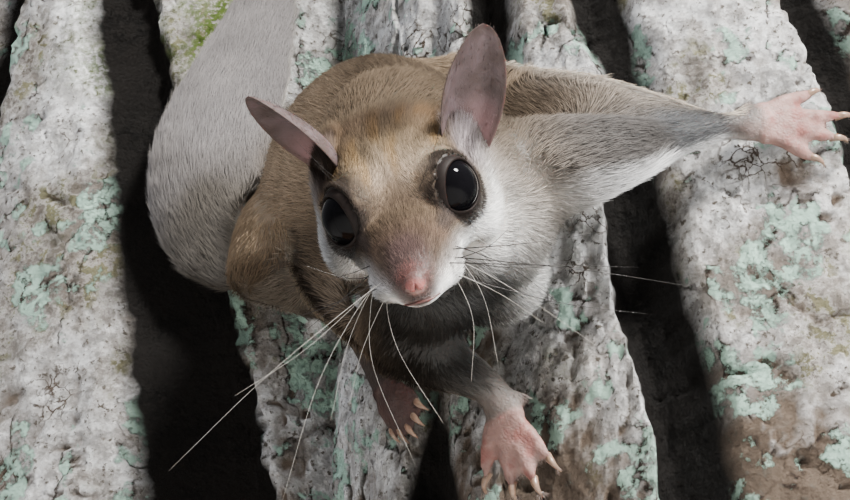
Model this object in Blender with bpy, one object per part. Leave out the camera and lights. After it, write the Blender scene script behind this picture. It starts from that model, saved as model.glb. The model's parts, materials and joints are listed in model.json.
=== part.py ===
"""A flying squirrel clinging head down to a cut length of trunk, at life size.

The trunk is two grown-together stems on a plain display stand. The animal is modelled
whole, as one smooth body, and then parted into its named parts with thin gaps.
Sizes in this file are in millimetres; meshes are written in metres, with +Z up and
the origin at the middle of the underside of the base plate.
"""
import math
import random

import bmesh
import bpy
import numpy as np
from mathutils import Vector

MM = 0.001
GAP = 0.3                      # left between neighbouring parts
THINNEST = 0.12                # half width that a loft keeps at its ends

# Display stand
BASE_LENGTH = 236.0
BASE_WIDTH = 168.0
BASE_THICKNESS = 12.0
BASE_CORNER = 22.0
ROD_RADIUS = 5.0
ROD_SPREAD = 92.0

# Trunk
STEM_FRONT = (40.0, -5.0, 78.0)       # centre x, centre y, radius
STEM_SIDE = (-62.0, 27.0, 61.0)
STEM_MIDDLE = (-5.0, 5.0)
TRUNK_BOTTOM = 84.0
TRUNK_TOP = 288.0
TRUNK_LEVELS = 8
# Deep furrows seen from the front: rows of height, angle in degrees, half width and depth
FRONT_FURROWS = (
    ((84, 219, 7, 8), (165, 216.5, 7, 9), (200, 213, 6.5, 9), (235, 210, 6, 8), (288, 204, 5, 6)),
    ((84, 260, 6, 6), (150, 258.5, 7, 9), (160, 257.5, 6, 8), (170, 258, 4, 4), (180, 258.5, 3, 2),
     (288, 259, 3, 2)),
    ((84, 273, 4, 1.2), (222, 269, 4, 1.5), (236, 267.5, 5, 6), (288, 266, 5, 7)),
    ((84, 289, 5, 6), (157, 286, 6, 9), (185, 283, 5.5, 9), (200, 282.4, 5, 7), (220, 282, 5, 4),
     (232, 280, 5, 6), (288, 277, 6, 7)),
    ((84, 304, 4, 4), (190, 302, 4, 3), (219, 300, 5, 6), (235, 297, 5, 6), (288, 294, 5, 5)))
OTHER_FURROWS = 21                    # spread over the sides and the back
PLATE_RISE = 0.4                      # middle of a bark plate over its sides
OTHER_FROM, OTHER_TO = 315.0, 553.0   # degrees

# Head, placed by the point midway between the eyes
HEAD_AT = Vector((-22.0, -105.0, 180.0))
HEAD_FORWARD = Vector((0.10, -0.398, -0.913)).normalized()
HEAD_UP = Vector((-0.274, -0.894, 0.360)).normalized()
EYE_RADIUS = 4.1
EYE_AT = (0.7, 6.6, 0.85)             # forward, to the side, up
EYE_AXIS = (0.50, 0.80, 0.33)
EYE_OPENING = 64.0                    # degrees from the axis to the lid's edge
SOCKET = 0.85                         # skin over the eyeball
LID_RADIUS = 4.25
LID_HEIGHT = 1.6
LID_THICKNESS = 0.75
EAR_LENGTH = 13.4
EAR_HALF_WIDTH = 5.7
EAR_THICKNESS = 1.0
EAR_TOP = {"left": (-0.08, 0.50, 0.84), "right": (0.14, -0.50, 0.85)}
EAR_OPEN = {"left": (0.80, 0.58, -0.10), "right": (0.86, -0.42, 0.12)}

# Body
BODY_VOXEL = 0.75
BODY_TRIANGLES = 2800
HEAD_VOXEL = 0.6
HEAD_TRIANGLES = 2300
TAIL_TRIANGLES = 600
REGION_VOXEL = 1.4
REGION_TRIANGLES = 220
DIGIT_RADIUS = 1.15
CLAW_LENGTH = 2.4


def vec(*numbers):
    return Vector(numbers)


def spline(points, count):
    """Catmull-Rom curve through rows of numbers, sampled at count even steps."""
    points = np.array(points, float)
    last = len(points) - 1
    padded = np.vstack([2 * points[0] - points[1], points, 2 * points[-1] - points[-2]])
    rows = []
    for step in np.linspace(0.0, last, count):
        i = min(int(step), last - 1)
        t = step - i
        a, b, c, d = padded[i:i + 4]
        rows.append(0.5 * (2 * b + (c - a) * t + (2 * a - 5 * b + 4 * c - d) * t ** 2
                           + (3 * b - a - 3 * c + d) * t ** 3))
    return np.array(rows)


def new_object(name, points, faces):
    mesh = bpy.data.meshes.new(name)
    mesh.from_pydata([tuple(float(v) * MM for v in p) for p in points], [], faces)
    shape = bpy.data.objects.new(name, mesh)
    bpy.context.scene.collection.objects.link(shape)
    tidy = bmesh.new()
    tidy.from_mesh(mesh)
    bmesh.ops.triangulate(tidy, faces=tidy.faces[:])
    bmesh.ops.recalc_face_normals(tidy, faces=tidy.faces[:])
    tidy.to_mesh(mesh)
    tidy.free()
    return shape


def ring_solid(name, centres, sides, ups, segments, caps=(1.0, 1.0), cap_angles=(32, 62)):
    """Closed solid through elliptical rings, with a rounded cap at each end."""
    centres, sides, ups = (np.array(v, float) for v in (centres, sides, ups))

    def cap_rings(index, inner, length):
        outward = centres[index] - centres[inner]
        outward /= np.linalg.norm(outward)
        reach = length * min(np.linalg.norm(sides[index]), np.linalg.norm(ups[index]))
        return [(centres[index] + outward * reach * math.sin(a), sides[index] * math.cos(a),
                 ups[index] * math.cos(a)) for a in map(math.radians, cap_angles)], \
            centres[index] + outward * reach

    start, first_pole = cap_rings(0, 1, caps[0])
    end, last_pole = cap_rings(-1, -2, caps[1])
    rings = start[::-1] + list(zip(centres, sides, ups)) + end
    turn = [2 * math.pi * k / segments for k in range(segments)]
    points = [c + s * math.cos(a) + u * math.sin(a) for c, s, u in rings for a in turn]
    faces = []
    for r in range(len(rings) - 1):
        for k in range(segments):
            n = (k + 1) % segments
            faces.append((r * segments + k, r * segments + n,
                          (r + 1) * segments + n, (r + 1) * segments + k))
    points += [first_pole, last_pole]
    top = (len(rings) - 1) * segments
    for k in range(segments):
        n = (k + 1) % segments
        faces.append((len(points) - 2, n, k))
        faces.append((len(points) - 1, top + k, top + n))
    return new_object(name, points, faces)


def loft(name, stations, up, segments=16, rings=14, caps=(0.8, 0.8), cap_angles=(32, 62)):
    """Solid along stations of (point, half width, half height), level with the up vector."""
    rows = spline([[*p, w, h] for p, w, h in stations], rings)
    centres = rows[:, :3]
    tangents = np.gradient(centres, axis=0)
    ups, sides = [], []
    for t, row in zip(tangents, rows):
        across = Vector(t).cross(Vector(up)).normalized()
        lift = across.cross(Vector(t)).normalized()
        sides.append(np.array(across) * max(row[3], THINNEST))
        ups.append(np.array(lift) * max(row[4], THINNEST))
    return ring_solid(name, centres, sides, ups, segments, caps, cap_angles)


def ribbon(name, inner, edge, facing, thickness, segments=10, rings=13):
    """A membrane between an inner line and its free edge, thinning towards both ends."""
    inner, edge = spline(inner, rings), spline(edge, rings)
    centres = (inner + edge) / 2
    sides, ups = [], []
    for i in range(rings):
        side = (edge[i] - inner[i]) / 2
        normal = np.array(facing, float)
        normal -= side * normal.dot(side) / side.dot(side)
        normal /= np.linalg.norm(normal)
        sides.append(side)
        ups.append(normal * (thickness / 2))
    return ring_solid(name, centres, sides, ups, segments, (0.8, 0.8), (45,))


def ball(name, centre, radii, axes=None, segments=16, levels=10):
    """Ellipsoid with radii along three axes, the third running through its poles."""
    axes = axes or (vec(1, 0, 0), vec(0, 1, 0), vec(0, 0, 1))
    points, faces = [], []
    for level in range(1, levels):
        a = math.pi * level / levels
        for k in range(segments):
            b = 2 * math.pi * k / segments
            spot = (math.sin(a) * math.cos(b), math.sin(a) * math.sin(b), math.cos(a))
            points.append(centre + sum((axes[i] * radii[i] * spot[i] for i in range(3)), vec(0, 0, 0)))
    for level in range(levels - 2):
        for k in range(segments):
            n = (k + 1) % segments
            faces.append((level * segments + k, level * segments + n,
                          (level + 1) * segments + n, (level + 1) * segments + k))
    points += [centre + axes[2] * radii[2], centre - axes[2] * radii[2]]
    top = (levels - 2) * segments
    for k in range(segments):
        n = (k + 1) % segments
        faces.append((len(points) - 2, n, k))
        faces.append((len(points) - 1, top + k, top + n))
    return new_object(name, points, faces)


def remove(shape):
    mesh = shape.data
    bpy.data.objects.remove(shape)
    bpy.data.meshes.remove(mesh)


def apply_modifiers(shape):
    bpy.context.view_layer.update()
    evaluated = shape.evaluated_get(bpy.context.evaluated_depsgraph_get())
    baked = bpy.data.meshes.new_from_object(evaluated)
    old = shape.data
    shape.modifiers.clear()
    shape.data = baked
    bpy.data.meshes.remove(old)
    return shape


def joined(name, pieces):
    """All pieces in one mesh, still as separate surfaces."""
    whole = bmesh.new()
    for piece in pieces:
        whole.from_mesh(piece.data)
    mesh = bpy.data.meshes.new(name)
    whole.to_mesh(mesh)
    whole.free()
    for piece in pieces:
        remove(piece)
    shape = bpy.data.objects.new(name, mesh)
    bpy.context.scene.collection.objects.link(shape)
    return shape


def melted(name, pieces, voxel, smooth, triangles):
    """Pieces run together into one smooth closed surface of about this many triangles."""
    shape = joined(name, pieces)
    remesh = shape.modifiers.new("run together", "REMESH")
    remesh.mode = "VOXEL"
    remesh.voxel_size = voxel * MM
    remesh.adaptivity = 0.0
    ease = shape.modifiers.new("ease", "SMOOTH")
    ease.factor = 0.5
    ease.iterations = smooth
    shape.modifiers.new("triangles", "TRIANGULATE")
    apply_modifiers(shape)
    thin = shape.modifiers.new("thin out", "DECIMATE")
    thin.ratio = min(1.0, triangles / len(shape.data.polygons))
    return largest_surface(apply_modifiers(shape))


def largest_surface(shape):
    """Keep only the closed surface with the most faces."""
    work = bmesh.new()
    work.from_mesh(shape.data)
    seen, groups = set(), []
    for face in work.faces:
        if face in seen:
            continue
        group, wait = [], [face]
        seen.add(face)
        while wait:
            here = wait.pop()
            group.append(here)
            for edge in here.edges:
                for other in edge.link_faces:
                    if other not in seen:
                        seen.add(other)
                        wait.append(other)
        groups.append(group)
    keep = set(max(groups, key=len))
    bmesh.ops.delete(work, geom=[f for f in work.faces if f not in keep], context="FACES")
    bmesh.ops.triangulate(work, faces=work.faces[:])
    work.to_mesh(shape.data)
    work.free()
    return shape


def copied(shape, name):
    twin = bpy.data.objects.new(name, shape.data.copy())
    bpy.context.scene.collection.objects.link(twin)
    return twin


def combined(shape, tools, operation):
    """Boolean with each tool in turn; the tools are used up."""
    for tool in tools:
        step = shape.modifiers.new("combine", "BOOLEAN")
        step.operation = operation
        step.solver = "EXACT"
        step.object = tool
        apply_modifiers(shape)
        remove(tool)
    return largest_surface(shape)


def fused(name, pieces):
    """One Boolean union of closed pieces, kept as its largest surface."""
    group = bpy.data.collections.new(name + " pieces")
    bpy.context.scene.collection.children.link(group)
    first, rest = pieces[0], pieces[1:]
    for piece in rest:
        bpy.context.scene.collection.objects.unlink(piece)
        group.objects.link(piece)
    step = first.modifiers.new("fuse", "BOOLEAN")
    step.operation = "UNION"
    step.solver = "EXACT"
    step.operand_type = "COLLECTION"
    step.collection = group
    apply_modifiers(first)
    for piece in rest:
        remove(piece)
    bpy.data.collections.remove(group)
    first.name = name
    return largest_surface(first)


def finish(shape, name, colour, roughness, metallic=0.0):
    """Name the part, give it its material and shade it smooth."""
    shape.name = name
    shape.data.name = name
    material = bpy.data.materials.new(name + " surface")
    material.use_nodes = True
    surface = material.node_tree.nodes["Principled BSDF"]
    surface.inputs["Base Color"].default_value = (*colour, 1.0)
    surface.inputs["Roughness"].default_value = roughness
    surface.inputs["Metallic"].default_value = metallic
    shape.data.materials.clear()
    shape.data.materials.append(material)
    shape.data.shade_smooth()
    shape.data.set_sharp_from_angle(angle=math.radians(50))
    return shape


BROWN = (0.20, 0.13, 0.075)
GREY = (0.16, 0.14, 0.12)
PINK = (0.55, 0.30, 0.25)
BARK = (0.30, 0.29, 0.26)
BLACK = (0.008, 0.008, 0.01)
STEEL = (0.45, 0.45, 0.47)
OAK = (0.23, 0.13, 0.065)


def stand():
    """Base plate with rounded corners and two rods up to the trunk."""
    steps = 6
    outline = []
    for quarter in range(4):
        cx = (1 if quarter in (0, 3) else -1) * (BASE_LENGTH / 2 - BASE_CORNER)
        cy = (1 if quarter in (0, 1) else -1) * (BASE_WIDTH / 2 - BASE_CORNER)
        for k in range(steps + 1):
            a = math.pi / 2 * (quarter + k / steps)
            outline.append((cx + BASE_CORNER * math.cos(a), cy + BASE_CORNER * math.sin(a)))
    count = len(outline)
    bevel = 1.5
    points = []
    for z, inset in ((0, 0), (BASE_THICKNESS - bevel, 0), (BASE_THICKNESS, bevel)):
        for x, y in outline:
            points.append((x * (1 - 2 * inset / BASE_LENGTH), y * (1 - 2 * inset / BASE_WIDTH), z))
    faces = [tuple(range(count))[::-1], tuple(range(2 * count, 3 * count))]
    for level in range(2):
        for k in range(count):
            n = (k + 1) % count
            faces.append((level * count + k, level * count + n,
                          (level + 1) * count + n, (level + 1) * count + k))
    finish(new_object("stand_base", points, faces), "stand_base", OAK, 0.4)
    low, high = BASE_THICKNESS + GAP, TRUNK_BOTTOM - GAP
    for side, name in ((-1, "stand_rod_left"), (1, "stand_rod_right")):
        mesh = bmesh.new()
        bmesh.ops.create_cone(mesh, cap_ends=True, segments=24, radius1=ROD_RADIUS * MM,
                              radius2=ROD_RADIUS * MM, depth=(high - low) * MM)
        data = bpy.data.meshes.new(name)
        mesh.to_mesh(data)
        mesh.free()
        rod = bpy.data.objects.new(name, data)
        rod.location = (STEM_MIDDLE[0] * MM + side * ROD_SPREAD / 2 * MM, STEM_MIDDLE[1] * MM,
                        (low + high) / 2 * MM)
        bpy.context.scene.collection.objects.link(rod)
        finish(rod, name, STEEL, 0.3, 1.0)


def trunk_reach(direction):
    """Distance from the trunk's middle to its unfurrowed bark in this direction."""
    best = 0.0
    for cx, cy, radius in (STEM_FRONT, STEM_SIDE):
        wx, wy = STEM_MIDDLE[0] - cx, STEM_MIDDLE[1] - cy
        along = wx * direction[0] + wy * direction[1]
        best = max(best, -along + math.sqrt(max(0.0, along ** 2 - wx ** 2 - wy ** 2 + radius ** 2)))
    return best


def furrow_rows():
    """Every furrow as rows of height, angle in degrees, half width and depth, in order round the trunk."""
    draw = random.Random(11)
    furrows = list(FRONT_FURROWS)
    step = (OTHER_TO - OTHER_FROM) / (OTHER_FURROWS - 1)
    for k in range(OTHER_FURROWS):
        middle = OTHER_FROM + step * k + draw.uniform(-1.5, 1.5)
        half, depth, wave = draw.uniform(3.6, 5.2), draw.uniform(3.5, 6.5), draw.uniform(0, 6.28)
        furrows.append([(z, middle + 1.6 * math.sin(z / 38 + wave), half,
                         depth * (0.75 + 0.35 * math.sin(z / 29 + wave)))
                        for z in np.linspace(TRUNK_BOTTOM, TRUNK_TOP, 12)])
    return [np.array(rows, float).T for rows in furrows]


def trunk():
    """Two stems grown together, furrowed along their length, cut square at both ends."""
    furrows = furrow_rows()
    points = []
    for z in np.linspace(TRUNK_BOTTOM, TRUNK_TOP, TRUNK_LEVELS + 1):
        here = []
        for heights, *columns in furrows:
            middle, half, depth = (float(np.interp(z, heights, column)) for column in columns)
            here.append((middle, math.degrees(half / trunk_reach(way_round(middle))), depth))
        for k, (middle, half, depth) in enumerate(here):
            after, after_half, _ = here[(k + 1) % len(here)]
            start, end = middle + half, after - after_half + (360 if k + 1 == len(here) else 0)
            plate = (start + end) / 2
            for angle, sunk in ((middle - half, 0.0), (middle, depth), (start, 0.0), (plate, -PLATE_RISE)):
                way = way_round(angle)
                reach = trunk_reach(way) - sunk - PLATE_RISE - 0.5
                points.append((STEM_MIDDLE[0] + reach * way[0], STEM_MIDDLE[1] + reach * way[1], z))
    sides = len(furrows) * 4
    faces = []
    for low in range(0, TRUNK_LEVELS * sides, sides):
        for k in range(sides):
            n = (k + 1) % sides
            faces.append((low + k, low + n, low + sides + n, low + sides + k))
    points += [(*STEM_MIDDLE, TRUNK_BOTTOM), (*STEM_MIDDLE, TRUNK_TOP)]
    top = TRUNK_LEVELS * sides
    for k in range(sides):
        n = (k + 1) % sides
        faces.append((len(points) - 2, n, k))
        faces.append((len(points) - 1, top + k, top + n))
    return finish(new_object("perch_trunk", points, faces), "perch_trunk", BARK, 0.9)


def way_round(degrees):
    """Level direction from the trunk's middle."""
    return math.cos(math.radians(degrees)), math.sin(math.radians(degrees))


HEAD_LEFT = HEAD_UP.cross(HEAD_FORWARD).normalized()


def head_point(forward, left, up):
    return HEAD_AT + HEAD_FORWARD * forward + HEAD_LEFT * left + HEAD_UP * up


def head_way(forward, left, up):
    return (HEAD_FORWARD * forward + HEAD_LEFT * left + HEAD_UP * up).normalized()


# Skull profile: forward, middle height, half width, half height
SKULL = ((-24, -4.0, 10.4, 9.8), (-19, -3.6, 12.0, 10.6), (-14, -3.4, 12.9, 10.8),
         (-9, -3.3, 13.0, 10.6), (-4, -3.1, 12.0, 9.9), (0, -3.0, 10.6, 8.7),
         (4, -3.0, 8.6, 7.2), (8, -3.1, 6.5, 5.7), (12, -3.1, 4.7, 4.5), (14.4, -2.6, 3.5, 3.4))

# Spine: point, half width, half height, from the rump to the chest
SPINE = ((vec(-36.5, -45.5, 217.2), 8.5, 7.5), (vec(-34, -54.8, 213.2), 15.5, 11.5),
         (vec(-29.8, -65.3, 208.2), 19.8, 13.6), (vec(-21.8, -75.5, 199.6), 18.2, 13.8),
         (vec(-13.0, -85.3, 189.5), 15.0, 13.0), (vec(-9.5, -88.5, 184.5), 11.5, 11.0))
SPINE_UP = vec(-0.70, -0.71, 0.0)
CHEST = vec(-9.2, -78.5, 183.8)

SHOULDER = {"left": vec(-8, -87, 194), "right": vec(-16.5, -84, 182)}
ELBOW = {"left": vec(8.5, -92.4, 195.4), "right": vec(-23.0, -77.2, 174)}
WRIST = {"left": vec(25.2, -85.9, 203.8), "right": vec(-8.9, -72.6, 167.5)}
PALM = {"left": vec(31.0, -86.2, 204.0), "right": vec(-7.2, -72.7, 162.6)}
HIP = {"left": vec(-24, -61, 217.5), "right": vec(-38, -56, 205)}
KNEE = {"left": vec(-14, -72, 219), "right": vec(-44.0, -62.8, 192.0)}
HEEL = {"left": vec(-16.4, -65.9, 221.5), "right": vec(-31.5, -49.5, 191.2)}
SOLE = {"left": vec(-9.4, -70.4, 218.0), "right": vec(-27.0, -53.3, 182.0)}
TOES = {"left": vec(-4.5, -73.2, 215.7), "right": vec(-24.6, -54.9, 175.6)}
FOREARM = {"left": 3.7, "right": 5.2}
ARM_UP = vec(0, -0.9, 0.4)

# Tail: point, half width, half thickness
TAIL = ((vec(-40, -41, 217.5), 4.0, 3.4), (vec(-43.5, -39.5, 212.8), 6.0, 3.6),
        (vec(-47.5, -38.6, 209.8), 8.6, 3.7), (vec(-52.8, -39.6, 211.0), 11.2, 3.8),
        (vec(-55.6, -41.5, 219.5), 12.7, 3.8), (vec(-54.1, -42.5, 230), 12.8, 3.7),
        (vec(-51.5, -41.5, 241), 11.4, 3.4), (vec(-48.9, -40, 252), 9.0, 2.9),
        (vec(-46.3, -38, 265), 6.0, 2.2), (vec(-44.4, -36.5, 275), 2.4, 1.3))
TAIL_UP = vec(-0.35, -0.85, -0.2)

# Gliding membranes: inner line along the body and free edge, from the hind leg to the wrist
MEMBRANE_THICKNESS = 2.6
MEMBRANE_INNER = {
    "left": (vec(-19, -66, 219), vec(-12, -73, 211), vec(-4.5, -80, 204), vec(3.8, -86, 199.7),
             vec(12.4, -88, 199.2), vec(19.9, -87, 201.7), vec(25.0, -85.9, 204)),
    "right": (vec(-34, -64, 201), vec(-33.5, -71, 190), vec(-29.5, -74, 182), vec(-25, -74, 177),
              vec(-19.5, -73.2, 172.8), vec(-14, -72, 170), vec(-9.7, -71.4, 167.4))}
MEMBRANE_EDGE = {
    "left": (vec(-14.6, -72.0, 227.0), vec(-7.2, -77.3, 221.7), vec(-0.6, -81.9, 217.6),
             vec(5.9, -84.9, 214.6), vec(13, -86.4, 211.1), vec(20.2, -87, 207.9), vec(26, -86.6, 205.2)),
    "right": (vec(-41.5, -68.5, 196.5), vec(-40.6, -70.4, 189.0), vec(-37.6, -70.8, 182.0),
              vec(-32.4, -71.2, 176.0), vec(-25.9, -71.4, 171.6), vec(-19.0, -71.2, 168.2),
              vec(-11.1, -71.2, 166.2))}
MEMBRANE_FACE = {"left": (0.0, -0.9, 0.0), "right": (-0.3, -0.8, -0.5)}


def head_forms():
    skull = loft("skull", [(head_point(f, 0, u), w, h) for f, u, w, h in SKULL], HEAD_UP,
                 segments=24, rings=22, caps=(0.6, 0.75))
    forms = [skull]
    axes = (HEAD_LEFT, HEAD_UP, HEAD_FORWARD)
    for side in (-1, 1):
        forms.append(ball("pad", head_point(10.2, side * 3.5, -3.9), (3.2, 2.9, 4.2), axes))
        forms.append(ball("cheek", head_point(-4.5, side * 8.6, -6.2), (4.7, 5.4, 8.0), axes))
        forms.append(ball("socket", head_point(EYE_AT[0], side * EYE_AT[1], EYE_AT[2]),
                          (EYE_RADIUS + SOCKET,) * 3, axes))
        forms.append(ball("brow", head_point(-1.0, side * 4.6, 0.2), (4.4, 4.0, 8.0), axes))
    forms.append(ball("chin", head_point(8.6, 0, -6.3), (3.4, 2.3, 4.6), axes))
    return forms


def neck_form():
    return loft("neck", [(vec(-13.5, -84.5, 190), 12.5, 12.5), (vec(-17, -89, 191), 12.0, 12.0),
                         (head_point(-17, 0, -4.5), 11.0, 10.0)], HEAD_UP, rings=8)


def body_forms():
    """Everything of flesh but the ears, digits, membranes and tail."""
    forms = head_forms()
    forms.append(loft("trunk of body", SPINE, SPINE_UP, segments=24, rings=20, caps=(0.9, 0.7)))
    forms.append(neck_form())
    forms.append(ball("chest", CHEST, (9.4, 9.0, 9.0)))
    for side in ("left", "right"):
        wrist, palm = WRIST[side], PALM[side]
        forms.append(loft("arm", [(SHOULDER[side], 9.5, 9.0), ((SHOULDER[side] + ELBOW[side]) / 2, 8.4, 8.0),
                                  (ELBOW[side], 6.4, 6.0),
                                  ((ELBOW[side] + wrist) / 2, FOREARM[side], FOREARM[side] * 0.92),
                                  (wrist, 2.9, 2.5)], ARM_UP, rings=16, caps=(0.9, 0.9)))
        forms.append(loft("palm", [(wrist, 2.8, 2.3), ((wrist + palm) / 2, 3.4, 2.2), (palm, 3.9, 2.0)],
                          palm_up(side), rings=6, segments=12, caps=(0.6, 0.5)))
        forms.append(loft("leg", [(HIP[side], 10.0, 9.5), ((HIP[side] + KNEE[side]) / 2, 9.5, 8.5),
                                  (KNEE[side], 6.6, 6.2)], SPINE_UP, rings=10, caps=(0.9, 0.9)))
        forms.append(loft("shin", [(KNEE[side], 6.0, 5.6), ((KNEE[side] + HEEL[side]) / 2, 4.6, 4.4),
                                   (HEEL[side], 3.0, 2.8)], ARM_UP, rings=8))
        forms.append(loft("foot", [(HEEL[side], 2.7, 2.5), (SOLE[side], 3.3, 2.1), (TOES[side], 3.6, 1.9)],
                          foot_up(side), rings=8, segments=12, caps=(0.8, 0.5)))
    return forms


def bark_normal(point):
    """Outward from the stem that the point lies over."""
    def height(stem):
        return math.hypot(point.x - stem[0], point.y - stem[1]) - stem[2]
    stem = min((STEM_FRONT, STEM_SIDE), key=height)
    return vec(point.x - stem[0], point.y - stem[1], 0).normalized()


def palm_up(side):
    return bark_normal(PALM[side])


def foot_up(side):
    return bark_normal(TOES[side])


def dropped(point, height):
    """The same point at this height off the bark."""
    stem = min((STEM_FRONT, STEM_SIDE),
               key=lambda s: math.hypot(point.x - s[0], point.y - s[1]) - s[2])
    away = vec(point.x - stem[0], point.y - stem[1], 0)
    away = away.normalized() * (stem[2] + height)
    return vec(stem[0] + away.x, stem[1] + away.y, point.z)


def digit(root, way, length, lift, radius):
    """A finger or toe arched over its knuckle, running out into a hooked claw."""
    knuckle = dropped(root + way * length * 0.5, lift)
    tip = dropped(root + way * length, radius + 0.4)
    away = bark_normal(tip)
    stations = [(root, radius * 1.15, radius), (knuckle, radius * 1.1, radius),
                (tip, radius * 0.95, radius * 0.85),
                (tip + way * CLAW_LENGTH * 0.35 + away * 0.35, 0.42, 0.5),
                (tip + way * CLAW_LENGTH * 0.75, 0.32, 0.38),
                (tip + way * CLAW_LENGTH - away * (radius - 0.25), 0.12, 0.14)]
    return loft("digit", stations, away, segments=6, rings=7, caps=(0.7, 0.5), cap_angles=())


# Digits: way from the palm or sole, in degrees to the animal's outer side, and length
FINGERS = {"left": ((-27, 6.6), (-8, 9.8), (6, 11.0), (27, 7.6)),
           "right": ((-42, 5.8), (-15, 8.2), (1, 9.0), (17, 7.2))}
TOE_FAN = {"left": ((-22, 6.0), (-10, 8.0), (1, 8.6), (12, 8.0), (26, 6.0)),
           "right": ((-18, 4.8), (-8, 6.2), (1, 6.8), (10, 6.2), (20, 4.8))}


def digits(side, hand):
    start, centre = (WRIST[side], PALM[side]) if hand else (SOLE[side], TOES[side])
    away = bark_normal(centre)
    forward = centre - start
    forward = (forward - away * forward.dot(away)).normalized()
    across = away.cross(forward)
    pieces = []
    for degrees, length in (FINGERS if hand else TOE_FAN)[side]:
        angle = math.radians(degrees)
        way = forward * math.cos(angle) + across * math.sin(angle)
        root = centre + forward * 0.4 + across * 2.6 * math.sin(angle) / math.sin(0.6)
        pieces.append(digit(root, way, length, 3.4, DIGIT_RADIUS))
    if hand:
        thumb = centre - forward * 2.6 + across * (3.4 if side == "left" else 3.2)
        pieces.append(ball("thumb", thumb - away * 0.4, (1.5, 1.5, 1.3), segments=8, levels=6))
    return pieces


def ear(side, grow=0.0):
    """A thin cup of skin: widest at mid height, curled in at its base, tip rounded."""
    sign = 1 if side == "left" else -1
    root = head_point(-9.5, sign * 11.0, 3.8)
    top = head_way(*EAR_TOP[side])
    open_way = head_way(*EAR_OPEN[side])
    open_way = (open_way - top * open_way.dot(top)).normalized()
    across = top.cross(open_way)
    rows, columns = 7, 7
    front, back = [], []
    for r in range(rows + 1):
        t = r / rows
        height = -2.6 + (EAR_LENGTH + 2.6 + grow) * t
        half = (EAR_HALF_WIDTH + grow) * (0.55 + 0.95 * t - 0.35 * t * t) * \
            math.sqrt(max(0.0, 1 - t ** 3)) + 0.25
        curl = math.radians(152 - 92 * t)
        for c in range(columns + 1):
            s = -1 + 2 * c / columns
            angle = s * curl / 2
            radius = half / max(math.sin(curl / 2), 0.35)
            middle = root + top * height - open_way * (1.2 * t * t)
            spot = middle + across * radius * math.sin(angle) + \
                open_way * radius * (math.cos(curl / 2) - math.cos(angle)) * 0.9
            normal = (across * math.sin(angle) - open_way * math.cos(angle)).normalized()
            half_skin = (EAR_THICKNESS / 2) * (1 - 0.35 * t) + grow
            front.append(spot - normal * half_skin)
            back.append(spot + normal * half_skin)
    points = front + back
    wide = columns + 1
    offset = len(front)
    faces = []
    for r in range(rows):
        for c in range(columns):
            a, b = r * wide + c, r * wide + c + 1
            d, e = (r + 1) * wide + c, (r + 1) * wide + c + 1
            faces += [(a, b, e), (a, e, d), (offset + b, offset + a, offset + d),
                      (offset + b, offset + d, offset + e)]
    rim = [c for c in range(wide)]
    rim += [r * wide + columns for r in range(1, rows + 1)]
    rim += [rows * wide + c for c in range(columns - 1, -1, -1)]
    rim += [r * wide for r in range(rows - 1, 0, -1)]
    for k, a in enumerate(rim):
        b = rim[(k + 1) % len(rim)]
        faces.append((a, offset + a, offset + b, b))
    return new_object("ear_" + side, points, faces)


def eye(side, grow=0.0):
    sign = 1 if side == "left" else -1
    centre = head_point(EYE_AT[0], sign * EYE_AT[1], EYE_AT[2])
    radius = EYE_RADIUS + grow
    return ball("eye_" + side, centre, (radius,) * 3, segments=16, levels=10)


def lid(side):
    """A rim of skin round the opening of the eye."""
    sign = 1 if side == "left" else -1
    axis = head_way(EYE_AXIS[0], sign * EYE_AXIS[1], EYE_AXIS[2])
    centre = head_point(EYE_AT[0], sign * EYE_AT[1], EYE_AT[2]) + axis * LID_HEIGHT
    first = axis.orthogonal().normalized()
    second = axis.cross(first)
    around, section = 16, 5
    points, faces = [], []
    for i in range(around):
        a = 2 * math.pi * i / around
        out = first * math.cos(a) + second * math.sin(a)
        for j in range(section):
            b = 2 * math.pi * j / section
            points.append(centre + out * (LID_RADIUS + LID_THICKNESS * math.cos(b))
                          + axis * LID_THICKNESS * math.sin(b))
    for i in range(around):
        for j in range(section):
            ni, nj = (i + 1) % around, (j + 1) % section
            faces.append((i * section + j, ni * section + j, ni * section + nj, i * section + nj))
    return new_object("lid", points, faces)


def eye_opening(side):
    """A ball set off along the eye's axis that cuts the round opening between the lids."""
    sign = 1 if side == "left" else -1
    axis = head_way(EYE_AXIS[0], sign * EYE_AXIS[1], EYE_AXIS[2])
    inside, radius = EYE_RADIUS + GAP, 1.4 * EYE_RADIUS
    along = inside * math.cos(math.radians(EYE_OPENING))
    reach = along + math.sqrt(along ** 2 - inside ** 2 + radius ** 2)
    centre = head_point(EYE_AT[0], sign * EYE_AT[1], EYE_AT[2]) + axis * reach
    return ball("opening", centre, (radius,) * 3, segments=14, levels=9)


def mouth_line():
    """A fine groove round the front of the muzzle under the nose."""
    way = [head_point(f, s, u) for f, s, u in
           ((7.0, -5.6, -6.6), (10.0, -4.9, -6.3), (12.8, -3.4, -5.7), (14.6, -1.2, -5.2),
            (14.9, 0, -5.0), (14.6, 1.2, -5.2), (12.8, 3.4, -5.7), (10.0, 4.9, -6.3),
            (7.0, 5.6, -6.6))]
    return loft("mouth", [(p, 0.6, 0.4) for p in way], HEAD_UP, segments=4, rings=11, cap_angles=())


def puffed(shape, name, distance):
    """A copy with its whole surface moved outwards."""
    twin = copied(shape, name)
    puff = twin.modifiers.new("puff", "DISPLACE")
    puff.mid_level = 0.0
    puff.strength = distance * MM
    return apply_modifiers(twin)


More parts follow.
